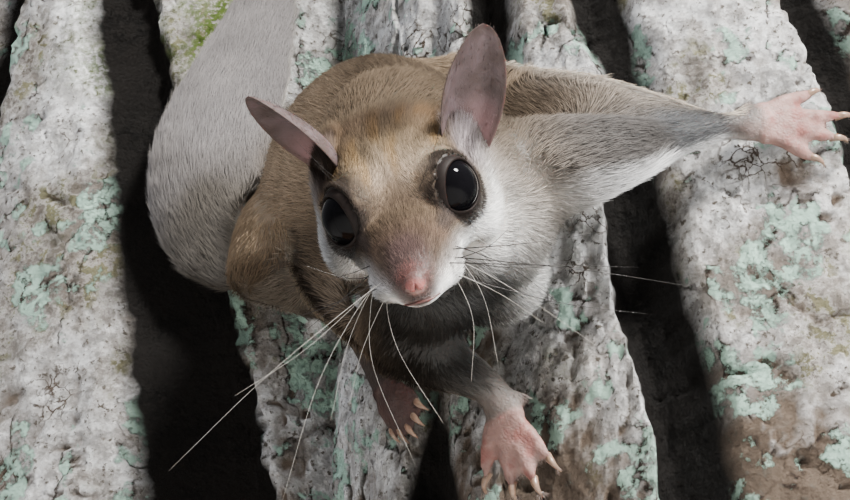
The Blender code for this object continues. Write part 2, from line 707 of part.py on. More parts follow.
def parts_of_body(bark):
    """Part the whole animal: each region is kept as a part and cut from the rest."""
    whole = melted("body", body_forms(), BODY_VOXEL, 6, BODY_TRIANGLES)
    whole = combined(whole, [puffed(bark, "bark", GAP + 0.1)], "DIFFERENCE")
    outside = puffed(whole, "outside", GAP + 0.1)

    regions = []
    for side in ("left", "right"):
        wrist, palm = WRIST[side], PALM[side]
        reach = (palm - wrist).normalized()
        regions.append(("hand_" + side, [(wrist + reach * 2.4, 7, 7), (palm + reach * 4, 8, 8)],
                        palm_up(side), (0.15, 0.5)))
        heel, toes = HEEL[side], TOES[side]
        reach = (toes - heel).normalized()
        regions.append(("foot_" + side, [(heel + reach * 3.6, 4.6, 4.6), (toes + reach * 3, 6.4, 5)],
                        foot_up(side), (0.15, 0.5)))
    head_stations = [(head_point(-13.0, 0, -3.6), 15.5, 13.0), (head_point(-4, 0, -3.5), 17, 14),
                     (head_point(20, 0, -3.0), 14, 12)]
    regions.append(("head", head_stations, HEAD_UP, (0.35, 0.3)))
    regions.append(("neck", [(vec(-16.5, -87.5, 191.5), 14.0, 13.5), (head_point(-12, 0, -4), 15, 13)],
                    HEAD_UP, (0.25, 0.3)))
    for side in ("left", "right"):
        shoulder, elbow, wrist = SHOULDER[side], ELBOW[side], WRIST[side]
        regions.append(("arm_" + side, [(shoulder.lerp(elbow, 0.3), 12.5, 12.0), (elbow, 10, 9.5),
                                        (wrist, 7, 7)], ARM_UP, (0.5, 0.6)))
        hip, knee, heel = HIP[side], KNEE[side], HEEL[side]
        regions.append(("leg_" + side, [(hip.lerp(knee, 0.35), 12.5, 12), (knee, 11, 10.5),
                                        (knee.lerp(heel, 0.5), 9, 8.5), (heel, 7.5, 7)],
                        SPINE_UP, (0.5, 0.6)))
    regions.append(("torso_rear", [(vec(-45, -36, 222), 22, 18), (vec(-28.5, -66, 208), 26, 19)],
                    SPINE_UP, (0.4, 0.12)))
    parts = {}
    for name, stations, up, caps in regions:
        keep = melted("keep", [loft("keep", stations, up, segments=20, rings=14, caps=caps)],
                      REGION_VOXEL, 2, REGION_TRIANGLES)
        clear = puffed(keep, "clear", GAP + 0.05)
        source = copied(whole, name)
        if name == "head":
            remove(source)
            source = melted("head", head_forms() + [neck_form()], HEAD_VOXEL, 4, HEAD_TRIANGLES)
        parts[name] = combined(source, [keep], "INTERSECT")
        whole = combined(whole, [clear], "DIFFERENCE")
    for side in ("left", "right"):
        sheet = ribbon("membrane", MEMBRANE_INNER[side], MEMBRANE_EDGE[side],
                       MEMBRANE_FACE[side], MEMBRANE_THICKNESS)
        parts["membrane_" + side] = combined(sheet, [copied(outside, "tool")], "DIFFERENCE")
    tail = melted("tail", [loft("tail", TAIL, TAIL_UP, segments=16, rings=26, caps=(0.8, 1.2))],
                  0.9, 2, TAIL_TRIANGLES)
    parts["tail"] = combined(tail, [outside], "DIFFERENCE")
    return parts, whole


def main():
    for old in list(bpy.data.objects):
        bpy.data.objects.remove(old)
    stand()
    parts, rest = parts_of_body(trunk())
    finish(rest, "torso_front", BROWN, 0.85)
    head = fused("head", [parts.pop("head"), lid("left"), lid("right")])
    cuts = [cut for s in ("left", "right") for cut in (eye(s, GAP), eye_opening(s), ear(s, GAP))]
    cuts.append(mouth_line())
    for side in (-1, 1):
        cuts.append(ball("nostril", head_point(16.0, side * 1.15, -1.5), (0.75, 0.6, 1.3),
                         (HEAD_LEFT, HEAD_UP, HEAD_FORWARD), segments=8, levels=6))
    finish(combined(head, cuts, "DIFFERENCE"), "head", BROWN, 0.85)
    for side in ("left", "right"):
        finish(eye(side), "eye_" + side, BLACK, 0.05)
        finish(ear(side), "ear_" + side, PINK, 0.6)
        finish(fused("hand_" + side, [parts.pop("hand_" + side)] + digits(side, True)),
               "hand_" + side, PINK, 0.6)
        finish(fused("foot_" + side, [parts.pop("foot_" + side)] + digits(side, False)),
               "foot_" + side, PINK, 0.6)
    finish(parts.pop("tail"), "tail", GREY, 0.9)
    for name, piece in parts.items():
        finish(piece, name, BROWN, 0.85)


main()
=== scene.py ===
"""Flying squirrel head down on a cut length of trunk: skin, coat, bark, stand and studio.

Sizes are in millimetres in the tables below and turned to metres where a mesh is made.
The coat is solid mesh: thin tufts that root in the skin and follow its lie.
"""

import json
import math
import random

import bmesh
import bpy
import numpy as np
from mathutils import Matrix, Vector
from mathutils.bvhtree import BVHTree

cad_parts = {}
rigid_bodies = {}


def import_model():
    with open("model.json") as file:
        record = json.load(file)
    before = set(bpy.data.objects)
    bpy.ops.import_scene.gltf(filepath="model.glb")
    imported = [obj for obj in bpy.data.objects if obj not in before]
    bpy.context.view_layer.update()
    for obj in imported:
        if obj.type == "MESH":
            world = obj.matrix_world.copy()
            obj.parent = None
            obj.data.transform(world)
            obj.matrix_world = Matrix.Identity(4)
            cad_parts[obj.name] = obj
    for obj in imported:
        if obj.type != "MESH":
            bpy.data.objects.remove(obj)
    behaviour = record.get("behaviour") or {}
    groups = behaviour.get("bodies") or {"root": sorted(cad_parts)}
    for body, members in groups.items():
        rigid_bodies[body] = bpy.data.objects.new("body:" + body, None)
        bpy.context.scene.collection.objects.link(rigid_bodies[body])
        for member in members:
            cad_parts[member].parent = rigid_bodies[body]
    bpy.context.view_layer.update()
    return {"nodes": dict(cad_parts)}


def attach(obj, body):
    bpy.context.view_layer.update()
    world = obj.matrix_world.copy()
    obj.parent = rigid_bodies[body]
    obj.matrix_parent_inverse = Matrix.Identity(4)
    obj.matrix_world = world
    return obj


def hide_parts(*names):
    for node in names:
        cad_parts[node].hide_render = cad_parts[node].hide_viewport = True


bl_info = {
    "name": "Flying squirrel on a trunk",
    "version": (1, 0, 0),
    "blender": (4, 5, 0),
    "location": "3D View > Sidebar > Squirrel",
    "description": "Dresses the packed flying squirrel: skin, coat, eyes, ears, bark and stand",
    "category": "Object",
}

for thing in list(bpy.data.objects):
    bpy.data.objects.remove(thing)
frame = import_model()

MM = 0.001


def vec(*numbers):
    return np.array(numbers, float)


def unit(v):
    v = np.asarray(v, float)
    return v / np.maximum(np.linalg.norm(v, axis=-1, keepdims=True), 1e-9)


def mix(a, b, share):
    """Blend of two numbers, or of two colours or rows of colours, by one share or a row of them."""
    if np.ndim(share) and (np.ndim(a) or np.ndim(b)):
        share = np.asarray(share)[..., None]
    return a * (1 - share) + b * share


def ramp(low, high, value):
    """Smooth step from 0 at low to 1 at high."""
    t = np.clip((np.asarray(value, float) - low) / (high - low), 0, 1)
    return t * t * (3 - 2 * t)


def linear(code):
    """Linear colour of an sRGB hex code."""
    channels = [int(code[i:i + 2], 16) / 255 for i in (1, 3, 5)]
    return np.array([c / 12.92 if c <= 0.04045 else ((c + 0.055) / 1.055) ** 2.4 for c in channels])


HEAD_AT = vec(-22.0, -105.0, 180.0)
HEAD_FORWARD = unit(vec(0.10, -0.398, -0.913))
HEAD_UP = unit(vec(-0.274, -0.894, 0.360))
HEAD_LEFT = unit(np.cross(HEAD_UP, HEAD_FORWARD))
HEAD_AXES = np.array([HEAD_FORWARD, HEAD_LEFT, HEAD_UP])
EYE_AT = (0.7, 6.6, 0.85)
EYE_AXIS = (0.50, 0.80, 0.33)
EYE_RADIUS = 4.1
EYE_OPENING = 64.0
STEMS = ((40.0, -5.0, 78.0), (-62.0, 27.0, 61.0))
TRUNK_MIDDLE = (-5.0, 5.0)
TRUNK_BOTTOM, TRUNK_TOP = 84.0, 288.0
SHOULDER = {"left": vec(-8, -87, 194), "right": vec(-16.5, -84, 182)}
ELBOW = {"left": vec(8.5, -92.4, 195.4), "right": vec(-23.0, -77.2, 174)}
WRIST = {"left": vec(25.2, -85.9, 203.8), "right": vec(-8.9, -72.6, 167.5)}
PALM = {"left": vec(31.0, -86.2, 204.0), "right": vec(-7.2, -72.7, 162.6)}
HIP = {"left": vec(-24, -61, 217.5), "right": vec(-38, -56, 205)}
KNEE = {"left": vec(-14, -72, 219), "right": vec(-44.0, -62.8, 192.0)}
HEEL = {"left": vec(-16.4, -65.9, 221.5), "right": vec(-31.5, -49.5, 191.2)}
SOLE = {"left": vec(-9.4, -70.4, 218.0), "right": vec(-27.0, -53.3, 182.0)}
TOES = {"left": vec(-4.5, -73.2, 215.7), "right": vec(-24.6, -54.9, 175.6)}
SPINE = (vec(-13, -85.3, 189.5), vec(-21.8, -75.5, 199.6), vec(-29.8, -65.3, 208.2),
         vec(-34, -54.8, 213.2), vec(-36.5, -45.5, 217.2))
TAIL = (vec(-40, -41, 217.5), vec(-47.5, -38.6, 209.8), vec(-52.8, -39.6, 211.0),
        vec(-55.6, -41.5, 219.5), vec(-54.1, -42.5, 230), vec(-51.5, -41.5, 241),
        vec(-48.9, -40, 252), vec(-46.3, -38, 265), vec(-44.4, -36.5, 275))
MEMBRANE_EDGE = {
    "left": (vec(-14.6, -72.0, 227.0), vec(-7.2, -77.3, 221.7), vec(-0.6, -81.9, 217.6),
             vec(5.9, -84.9, 214.6), vec(13, -86.4, 211.1), vec(20.2, -87, 207.9), vec(26, -86.6, 205.2)),
    "right": (vec(-41.5, -68.5, 196.5), vec(-40.6, -70.4, 189.0), vec(-37.6, -70.8, 182.0),
              vec(-32.4, -71.2, 176.0), vec(-25.9, -71.4, 171.6), vec(-19.0, -71.2, 168.2),
              vec(-11.1, -71.2, 166.2))}
FINGERS = {"left": ((-27, 6.6), (-8, 9.8), (6, 11.0), (27, 7.6)),
           "right": ((-42, 5.8), (-15, 8.2), (1, 9.0), (17, 7.2))}
TOE_FAN = {"left": ((-22, 6.0), (-10, 8.0), (1, 8.6), (12, 8.0), (26, 6.0)),
           "right": ((-18, 4.8), (-8, 6.2), (1, 6.8), (10, 6.2), (20, 4.8))}
DIGIT_RADIUS = 1.15
CLAW_LENGTH = 2.4
EAR_LENGTH = 14.4
EAR_HALF_WIDTH = 5.7
EAR_ROOT = {"left": (-8.6, 12.4, 2.3), "right": (-9.8, -11.2, 3.2)}
EAR_TOP = {"left": (-0.224, 0.367, 0.904), "right": (0.09, -0.336, 0.939)}
EAR_OPEN = {"left": (0.84, 0.46, 0.05), "right": (0.68, -0.74, 0.03)}
# Soft flesh between the cheek and the shoulder: middle and radius of overlapping balls
RUFF = ((-12.5, -95.0, 196.5, 5.5), (-12.0, -96.0, 192.0, 6.3), (-11.8, -96.0, 187.5, 6.6),
        (-11.8, -95.0, 183.0, 6.3), (-12.0, -93.5, 179.0, 5.5))
SIDES = ("left", "right")
SIGN = {"left": 1.0, "right": -1.0}
FLESH = ["head", "neck", "torso_front", "torso_rear", "tail"] + [
    part + side for part in ("arm_", "hand_", "leg_", "foot_", "membrane_") for side in SIDES]


def head_point(forward, left, up):
    return HEAD_AT + HEAD_FORWARD * forward + HEAD_LEFT * left + HEAD_UP * up


def head_way(forward, left, up):
    return unit(HEAD_FORWARD * forward + HEAD_LEFT * left + HEAD_UP * up)


def eye_centre(side):
    return head_point(EYE_AT[0], SIGN[side] * EYE_AT[1], EYE_AT[2])


def eye_axis(side):
    return head_way(EYE_AXIS[0], SIGN[side] * EYE_AXIS[1], EYE_AXIS[2])


def ear_root(side):
    return head_point(*EAR_ROOT[side])


def ear_canal(side):
    """Middle of the hollow in front of the ear's root."""
    return ear_root(side) + head_way(*EAR_OPEN[side]) * 1.6 - head_way(*EAR_TOP[side]) * 1.2


def nearest_stem(point):
    return min(STEMS, key=lambda s: math.hypot(point[0] - s[0], point[1] - s[1]) - s[2])


def bark_normal(point):
    x, y, _ = nearest_stem(point)
    return unit(vec(point[0] - x, point[1] - y, 0))


def digit_lines(part, side):
    """Root, direction and length of each finger or toe of a side."""
    tables = (WRIST, PALM, FINGERS) if part == "hand" else (SOLE, TOES, TOE_FAN)
    start, centre, fan = (table[side] for table in tables)
    away = bark_normal(centre)
    forward = centre - start
    forward = unit(forward - away * (forward @ away))
    across = np.cross(away, forward)
    lines = []
    for degrees, length in fan:
        angle = math.radians(degrees)
        way = forward * math.cos(angle) + across * math.sin(angle)
        lines.append((centre + forward * 0.4 + across * 2.6 * math.sin(angle) / math.sin(0.6), way, length))
    return lines


NOSE_TIP = head_point(16.6, 0, -2.3)
NOSE_PAD = head_point(14.9, 0.1, -1.1)
MOUTH_LINE = [head_point(*p) for p in (
    (15.9, -2.2, -3.8), (16.6, -1.3, -3.5), (16.85, 0, -3.3), (16.6, 1.4, -3.5), (15.5, 2.7, -3.9))]


def lattice_noise(points, seed=0):
    """Smooth noise from 0 to 1, one value for each row of three numbers."""
    points = np.asarray(points, float)
    cell = np.floor(points).astype(np.int64)
    part = points - cell
    part = part * part * (3 - 2 * part)
    total = np.zeros(len(points))
    for corner in range(8):
        bits = np.array([(corner >> k) & 1 for k in range(3)])
        at = cell + bits
        code = (at[:, 0] * 73856093) ^ (at[:, 1] * 19349663) ^ (at[:, 2] * 83492791) ^ (seed * 2654435761)
        code = (code & 0xffffffff) * 1274126177 & 0xffffffff
        code = ((code ^ (code >> 15)) * 2246822519) & 0xffffffff
        value = ((code ^ (code >> 13)) & 0xffffff) / 0xffffff
        total += value * np.prod(np.where(bits, part, 1 - part), axis=1)
    return total


def layered_noise(points, seed=0, layers=4):
    """Finer and fainter layers of noise on top of each other, about 0 to 1."""
    total, weight, whole = 0.0, 1.0, 0.0
    for layer in range(layers):
        total = total + weight * lattice_noise(np.asarray(points) * 2 ** layer, seed + 17 * layer)
        whole += weight
        weight *= 0.5
    return total / whole


def array_mesh(name, points, faces):
    """Mesh from an array of points in millimetres and an array of faces of one size."""
    faces = np.asarray(faces, np.int32)
    count, size = faces.shape
    mesh = bpy.data.meshes.new(name)
    mesh.vertices.add(len(points))
    mesh.vertices.foreach_set("co", (np.asarray(points, float) * MM).astype(np.float32).ravel())
    mesh.loops.add(count * size)
    mesh.loops.foreach_set("vertex_index", faces.ravel())
    mesh.polygons.add(count)
    mesh.polygons.foreach_set("loop_start", np.arange(0, count * size, size, dtype=np.int32))
    mesh.update(calc_edges=True)
    mesh.validate()
    return mesh


def placed(name, mesh, material, stands_for=()):
    """Show a mesh as a piece of the model."""
    mesh.name = name
    piece = bpy.data.objects.new(name, mesh)
    bpy.context.scene.collection.objects.link(piece)
    mesh.materials.clear()
    mesh.materials.append(material)
    mesh.shade_smooth()
    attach(piece, "root")
    if stands_for:
        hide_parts(*stands_for)
    return piece


def mesh_points(mesh):
    points = np.empty(len(mesh.vertices) * 3, np.float32)
    mesh.vertices.foreach_get("co", points)
    return points.reshape(-1, 3).astype(float) / MM


def mesh_normals(mesh):
    normals = np.empty(len(mesh.vertices) * 3, np.float32)
    mesh.vertex_normals.foreach_get("vector", normals)
    return normals.reshape(-1, 3).astype(float)


def set_colours(mesh, colours):
    """Store linear point colours under the name that the materials read."""
    layer = mesh.color_attributes.new("coat_colour", "FLOAT_COLOR", "POINT")
    colours = np.hstack([colours, np.ones((len(colours), 1))])
    layer.data.foreach_set("color", colours.astype(np.float32).ravel())


def node(tree, kind, settings=None, **links):
    """Add a shader node, set its values, and link inputs named by keyword or number."""
    made = tree.nodes.new(kind)
    for key, value in (settings or {}).items():
        if isinstance(key, str) and hasattr(made, key) and key not in made.inputs:
            setattr(made, key, value)
        else:
            made.inputs[key].default_value = value
    for key, source in links.items():
        name = int(key[1:]) if key[0] == "_" and key[1:].isdigit() else key.replace("_", " ")
        tree.links.new(source, made.inputs[name])
    return made


def new_material(name, **sockets):
    """A Principled material; keywords set its own sockets."""
    material = bpy.data.materials.new(name)
    material.use_nodes = True
    surface = material.node_tree.nodes["Principled BSDF"]
    for key, value in sockets.items():
        surface.inputs[key.replace("_", " ")].default_value = value
    return material, material.node_tree, surface


def relief(tree, surface, *layers):
    """Bump from layers of height, distance and strength, each over the one before."""
    below = None
    for height, distance, strength in layers:
        links = {"Normal": below} if below else {}
        made = node(tree, "ShaderNodeBump", {"Distance": distance, "Strength": strength}, Height=height, **links)
        below = made.outputs["Normal"]
    tree.links.new(below, surface.inputs["Normal"])


def pattern(tree, kind, size, settings=None, stretch=None):
    """Outputs of a texture fixed to the piece, with features about this many metres wide."""
    place = node(tree, "ShaderNodeTexCoord").outputs["Object"]
    if stretch:
        place = node(tree, "ShaderNodeMapping", {"Scale": stretch}, Vector=place).outputs["Vector"]
    return node(tree, kind, {"Scale": 1 / size, **(settings or {})}, Vector=place).outputs


def shades(tree, value, *stops):
    """Colour that follows a pattern through stops of position and hex code."""
    made = node(tree, "ShaderNodeValToRGB", Fac=value)
    elements = made.color_ramp.elements
    while len(elements) < len(stops):
        elements.new(0.5)
    for element, (position, code) in zip(elements, stops):
        element.position = position
        element.color = (*linear(code), 1)
    return made.outputs["Color"]


def grained_material(name, size, settings, stops, height=None, stretch=None, **sockets):
    """A material whose colour, and relief where height is given, follow one noise of this size."""
    material, tree, surface = new_material(name, **sockets)
    fac = pattern(tree, "ShaderNodeTexNoise", size, settings, stretch)["Fac"]
    tree.links.new(shades(tree, fac, *stops), surface.inputs["Base Color"])
    if height:
        relief(tree, surface, (fac, *height))
    return material


def mesh_colours(tree):
    """Output of the mesh's own point colours."""
    return node(tree, "ShaderNodeVertexColor", {"layer_name": "coat_colour"}).outputs["Color"]


def grid_quads(rows, columns, closed=(False, True)):
    """Corners of the faces between rows of points, which may close on themselves each way."""
    r, k = np.indices((rows - (not closed[0]), columns - (not closed[1]))).reshape(2, -1)
    above, beside = (r + 1) % rows, (k + 1) % columns
    return np.stack([r * columns + k, r * columns + beside, above * columns + beside, above * columns + k], axis=1)


def halved(quads):
    """Each four-sided face as two triangles."""
    return np.vstack([quads[:, [0, 1, 2]], quads[:, [0, 2, 3]]])


TURNED = [0, 3, 2, 1]


def around_path(path, first, second, sides):
    """Rings of points round a path, spanned by two vectors at each of its points."""
    turn = np.arange(sides) / sides * 2 * math.pi
    rings = (path[:, None] + first[:, None] * np.cos(turn)[None, :, None]
             + second[:, None] * np.sin(turn)[None, :, None])
    return rings.reshape(-1, 3)


def tube(path, radii, sides=8, flat=1.0):
    """Points and triangles of a closed tapering tube along a path."""
    path = np.asarray(path, float)
    way = unit(np.gradient(path, axis=0))
    across = unit(np.cross(way, vec(0.3, 0.2, 0.9)))
    lift = np.cross(across, way)
    radii = np.asarray(radii)[:, None]
    points = np.vstack([around_path(path, across * radii, lift * radii * flat, sides), path[:1], path[-1:]])
    count = len(path)
    ring = np.arange(sides)
    beside = (ring + 1) % sides
    start, end, last = np.full(sides, count * sides), np.full(sides, count * sides + 1), (count - 1) * sides
    return points, np.vstack([halved(grid_quads(count, sides)), np.stack([start, beside, ring], axis=1),
                              np.stack([end, last + ring, last + beside], axis=1)])


def gathered(parts):
    """Several (points, faces) pairs as one."""
    points, faces, start = [], [], 0
    for p, f in parts:
        points.append(p)
        faces.append(np.asarray(f) + start)
        start += len(p)
    return np.vstack(points), np.vstack(faces)


def bone(name, start, end, radius, length, rise, width, dorsal, above, below, share=(0.0, 0.5)):
    return {"name": name, "start": start, "end": end, "radius": radius, "length": length, "rise": rise,
            "width": width, "dorsal": unit(dorsal), "above": linear(above), "below": linear(below),
            "share": share}


BROWN = "#594C3E"
TAN = "#474442"
DEEP_BROWN = "#3C3229"
GREY = "#454546"
CREAM = "#7D7367"
WHITE = "#EDEBE8"
BODY_UP = vec(-0.62, -0.62, 0.48)
ARM_UP = {"left": vec(0.05, -0.35, 0.94), "right": vec(-0.5, -0.75, -0.1)}
# Colours of each arm: upper arm, forearm and underside; the right arm's underside is dark as painted shade under the
# head, where the left one's is white
ARM_COLOURS_AND_SHADE = {"left": (TAN, GREY, "#A6A5A4"), "right": ("#584D41", "#56524E", "#3C3730")}
EDGE_UP = {"left": vec(0.1, -0.5, 0.8), "right": vec(-0.7, -0.6, 0.3)}
EDGE_ABOVE = {"left": "#948B81", "right": BROWN}
SPINE_RADII = (15.0, 16.5, 14.5, 9.0)
TAIL_RADII = (6.0, 9.0, 11.0, 12.0, 12.0, 10.5, 8.0, 5.0)
TAIL_UP = vec(-0.35, -0.85, -0.2)
# Painted shade makes the tail's root, its first three lengths, darker and browner than the rest
TAIL_COLOURS_AND_SHADE = (("#4C4741", "#5A544E"),) * 3 + (("#686463", "#736F6A"),) * 5


def build_bones():
    """Lines inside the animal with the coat that grows round each."""
    nose, muzzle, face, crown = (head_point(f, 0, u) for f, u in ((17, -3), (8, -3), (-2, -3), (-15, -3.5)))
    bones = [
        bone("muzzle", nose, muzzle, 4.6, 1.1, 15, 0.055, HEAD_UP, "#54483F", "#9A918B"),
        bone("face", muzzle, face, 9.0, 1.7, 13, 0.065, HEAD_UP, BROWN, CREAM),
        bone("crown", face, crown, 12.0, 2.4, 14, 0.07, HEAD_UP, BROWN, CREAM),
        bone("nape", crown, SPINE[0], 12.5, 3.0, 13, 0.09, BODY_UP, "#453A2E", "#584D43"),
        bone("throat", head_point(-2, 1, -9), vec(-8, -80, 184), 10.5, 2.6, 12, 0.09,
             vec(-0.9, 0.2, 0.5), GREY, WHITE)]
    for start, end, radius in zip(SPINE, SPINE[1:], SPINE_RADII):
        bones.append(bone("spine", start, end, radius, 3.2, 11, 0.095, BODY_UP, BROWN, CREAM, (-0.25, 0.15)))
    for side in SIDES:
        up, (upper, lower, below) = ARM_UP[side], ARM_COLOURS_AND_SHADE[side]
        shoulder, elbow, wrist, hip, knee, heel = (
            table[side] for table in (SHOULDER, ELBOW, WRIST, HIP, KNEE, HEEL))
        bones += [
            bone("upper arm", shoulder, elbow, 7.5, 2.9, 11, 0.09, up, upper, below, (-0.75, -0.2)),
            bone("forearm", elbow, wrist, 4.2, 2.2, 11, 0.075, up, lower, below, (-0.8, -0.3)),
            bone("hand", wrist, PALM[side] * 2 - wrist, 3.4, 0.9, 10, 0.06, up, "#8A7D77", "#94807A"),
            bone("thigh", hip, knee, 9.5, 3.0, 11, 0.095, BODY_UP, BROWN, CREAM, (-0.3, 0.1)),
            bone("shin", knee, heel, 4.6, 2.8, 13, 0.10, BODY_UP, DEEP_BROWN, CREAM, (-0.3, 0.1)),
            bone("foot", heel, TOES[side] * 2 - SOLE[side], 3.2, 0.9, 10, 0.07, BODY_UP, "#4F4541", "#6B5B55")]
        for start, end in zip(MEMBRANE_EDGE[side], MEMBRANE_EDGE[side][1:]):
            bones.append(bone("membrane", start, end, 2.4, 2.2, 11, 0.08, EDGE_UP[side], EDGE_ABOVE[side],
                              CREAM, (-0.5, 0.0)))
    for start, end, radius, (above, below) in zip(TAIL, TAIL[1:], TAIL_RADII, TAIL_COLOURS_AND_SHADE):
        bones.append(bone("tail", start, end, radius, 3.6, 8, 0.085, TAIL_UP, above, below, (-0.6, 0.0)))
    return bones


UNDER_CHIN = vec(-15, -86, 172)
# Fuzz round each ear's root: pale grey on the left, and on the right painted dark as painted shade
EAR_FUZZ_AND_SHADE = {"left": "#857C7E", "right": "#4A403C"}
# Brown down the middle of the head, from nape to nose, paler across the forehead partly for its golden fur and partly
# as a painted highlight: millimetres forward of its middle, and colour
CROWN_LINE = ((-16, "#2B231C"), (-13, "#2C251C"), (-10, "#32281F"), (-6, "#3A3025"), (-3.5, "#5F5242"),
              (-1, "#7A6B5A"), (1, "#7D6E5F"), (3, "#635547"), (5, "#524539"), (7, "#4A3E32"),
              (9.5, "#45382F"), (12, "#463B33"), (14, "#4E413B"))
# Dark line and pale border along the edge of the right membrane
DARK_LINE = (vec(-38.1, -72.8, 193), vec(-37.7, -71.3, 189.9), vec(-36.6, -72.5, 185.2),
             vec(-34.8, -73, 182), vec(-32.7, -73.3, 179.1), vec(-29.7, -73.3, 175.7),
             vec(-26.8, -78.7, 170.4), vec(-22.3, -78.2, 167.5), vec(-18.1, -74.9, 166.2))
PALE_LINE = (vec(-39.8, -70.1, 194), vec(-39.2, -71, 190.1), vec(-38.3, -71.8, 185.4),
             vec(-36.4, -72.1, 181.3), vec(-33.9, -72.2, 178), vec(-30.9, -71.5, 174.9))
BONES = build_bones()
HEAD_BONES = 3
NAMES = [b["name"] for b in BONES]
TAIL_START = NAMES.index("tail")


def segment_distance(points, start, end):
    way = end - start
    share = np.clip((points - start) @ way / (way @ way), 0, 1)
    return np.linalg.norm(points - (start + share[:, None] * way), axis=1), share


def path_distance(points, path):
    return np.min([segment_distance(points, a, b)[0] for a, b in zip(path, path[1:])], axis=0)


def distance_to(points, spot):
    return np.linalg.norm(points - spot, axis=1)


def nearest(points, place):
    """Distance to the nearer of the two spots that place gives for a side."""
    return np.min([distance_to(points, place(side)) for side in SIDES], axis=0)


def head_colour(points, local):
    """Pattern of the head: brown crown, white cheeks, dark rings round the eyes, rosy nose; with a painted highlight
    on the forehead, painted light on the left side, and painted shade on the cheeks and round the right ear's root.
    """
    f, left, u = local.T
    l = np.abs(left)
    rows = np.array([linear(code) for _, code in CROWN_LINE]).T
    upper = np.stack([np.interp(f, [stop for stop, _ in CROWN_LINE], row) for row in rows], axis=1)
    streak = lattice_noise(local * (0.25, 1.6, 1.6), 51)
    # The crown's sides are lighter than its middle, in stops, and the head's left side, turned to the light, is
    # lighter still as painted light
    beside = np.interp(f, (-15, -10, -6, -3.5, 0), (0.6, 1.0, 1.0, 0.2, 0.1)) * ramp(1.5, 4.5, np.abs(left - 0.3))
    upper = upper * ((0.8 + 0.4 * streak) * 2 ** (beside + 0.4 * ramp(0.5, 4, left)))[:, None]
    gold = ramp(0.45, 0.75, lattice_noise(local * (0.2, 0.9, 0.9), 53)) * ramp(-14, -8, f) * ramp(4, 0, f)
    upper = mix(upper, upper * (1.14, 1.02, 0.80), gold)
    # Painted shade on the cheeks, in stops: darker towards the chin and on the side turned from the light
    cheek_painted_shade = 1.1 * ramp(-7.5, -1.5, u) * ramp(14.5, 12.0, f)
    cheek_painted_shade = cheek_painted_shade + ramp(-1, -4, left) * (0.4 + 1.1 * ramp(-8.5, -11.5, left))
    lower = linear("#F2F0ED") * (2 ** -cheek_painted_shade)[:, None]
    face = mix(lower, upper, ramp(-5.5, -1.0, u - 0.12 * l + 0.06 * np.minimum(f, 0)))
    for side in SIDES:
        above = 0.8 * ramp(2.0, 4.5, u) * ramp(7.0, 5.2, l)
        ring = ramp(6.2, 5.2, distance_to(points, eye_centre(side)) + above)
        face = mix(face, linear("#1C1715"), ring * 0.95)
        front, back = (head_point(a, SIGN[side] * b, c) for a, b, c in ((5.4, 5.8, 0.3), (8.0, 5.2, 0.2)))
        corner, _ = segment_distance(points, front, back)
        face = mix(face, linear("#352E2C"), ramp(1.7, 0.6, corner) * 0.8)
        # Fuzz round the ear's root; on the right it is painted dark as painted shade
        face = mix(face, linear(EAR_FUZZ_AND_SHADE[side]), ramp(6.0, 3.0, distance_to(points, ear_canal(side))) * 0.9)
    rosy, _ = segment_distance(points, NOSE_TIP, head_point(12.6, 0, 0.4))
    face = mix(face, linear("#4E3E3B"), ramp(3.8, 1.4, rosy) * 0.9)
    return mix(face, linear("#6A4541"), ramp(2.8, 1.5, distance_to(points, NOSE_PAD)) * 0.8)


def body_pattern(points, colour, body, off_head):
    """Flank lightened high up, partly for its paler fur and partly as painted light, and darkened low down as painted
    shade; lines along the membranes' edges; and painted shade under the chin.
    """
    x, z = points[:, 0], points[:, 2]
    # Painted light on the upper flank and painted shade on its lower part
    colour = colour * mix(1.0, 2.2, ramp(-27, -37, x) * body * ramp(188, 199, z))[:, None]
    colour = colour * mix(1.0, 0.5, ramp(-31, -37, x) * body * ramp(195, 186, z))[:, None]
    distance = path_distance(points, MEMBRANE_EDGE["left"])
    begun = ramp(-16, -8, x) * off_head
    colour = mix(colour, linear("#1E1813"), ramp(4.6, 3.4, distance) * ramp(1.2, 1.9, distance) * begun * 0.45)
    colour = mix(colour, linear("#B3A794"), ramp(2.0, 1.2, distance) * begun * 0.4)
    colour = mix(colour, linear("#6A5F50"), ramp(1.3, 0.7, path_distance(points, PALE_LINE)) * 0.9)
    dark = ramp(1.5, 0.8, path_distance(points, DARK_LINE))
    colour = mix(colour, linear("#1A1410"), dark * off_head * 0.9)
    shade = ramp(17, 8, distance_to(points, UNDER_CHIN)) * off_head
    return colour * mix(1.0, 0.075, shade)[:, None]


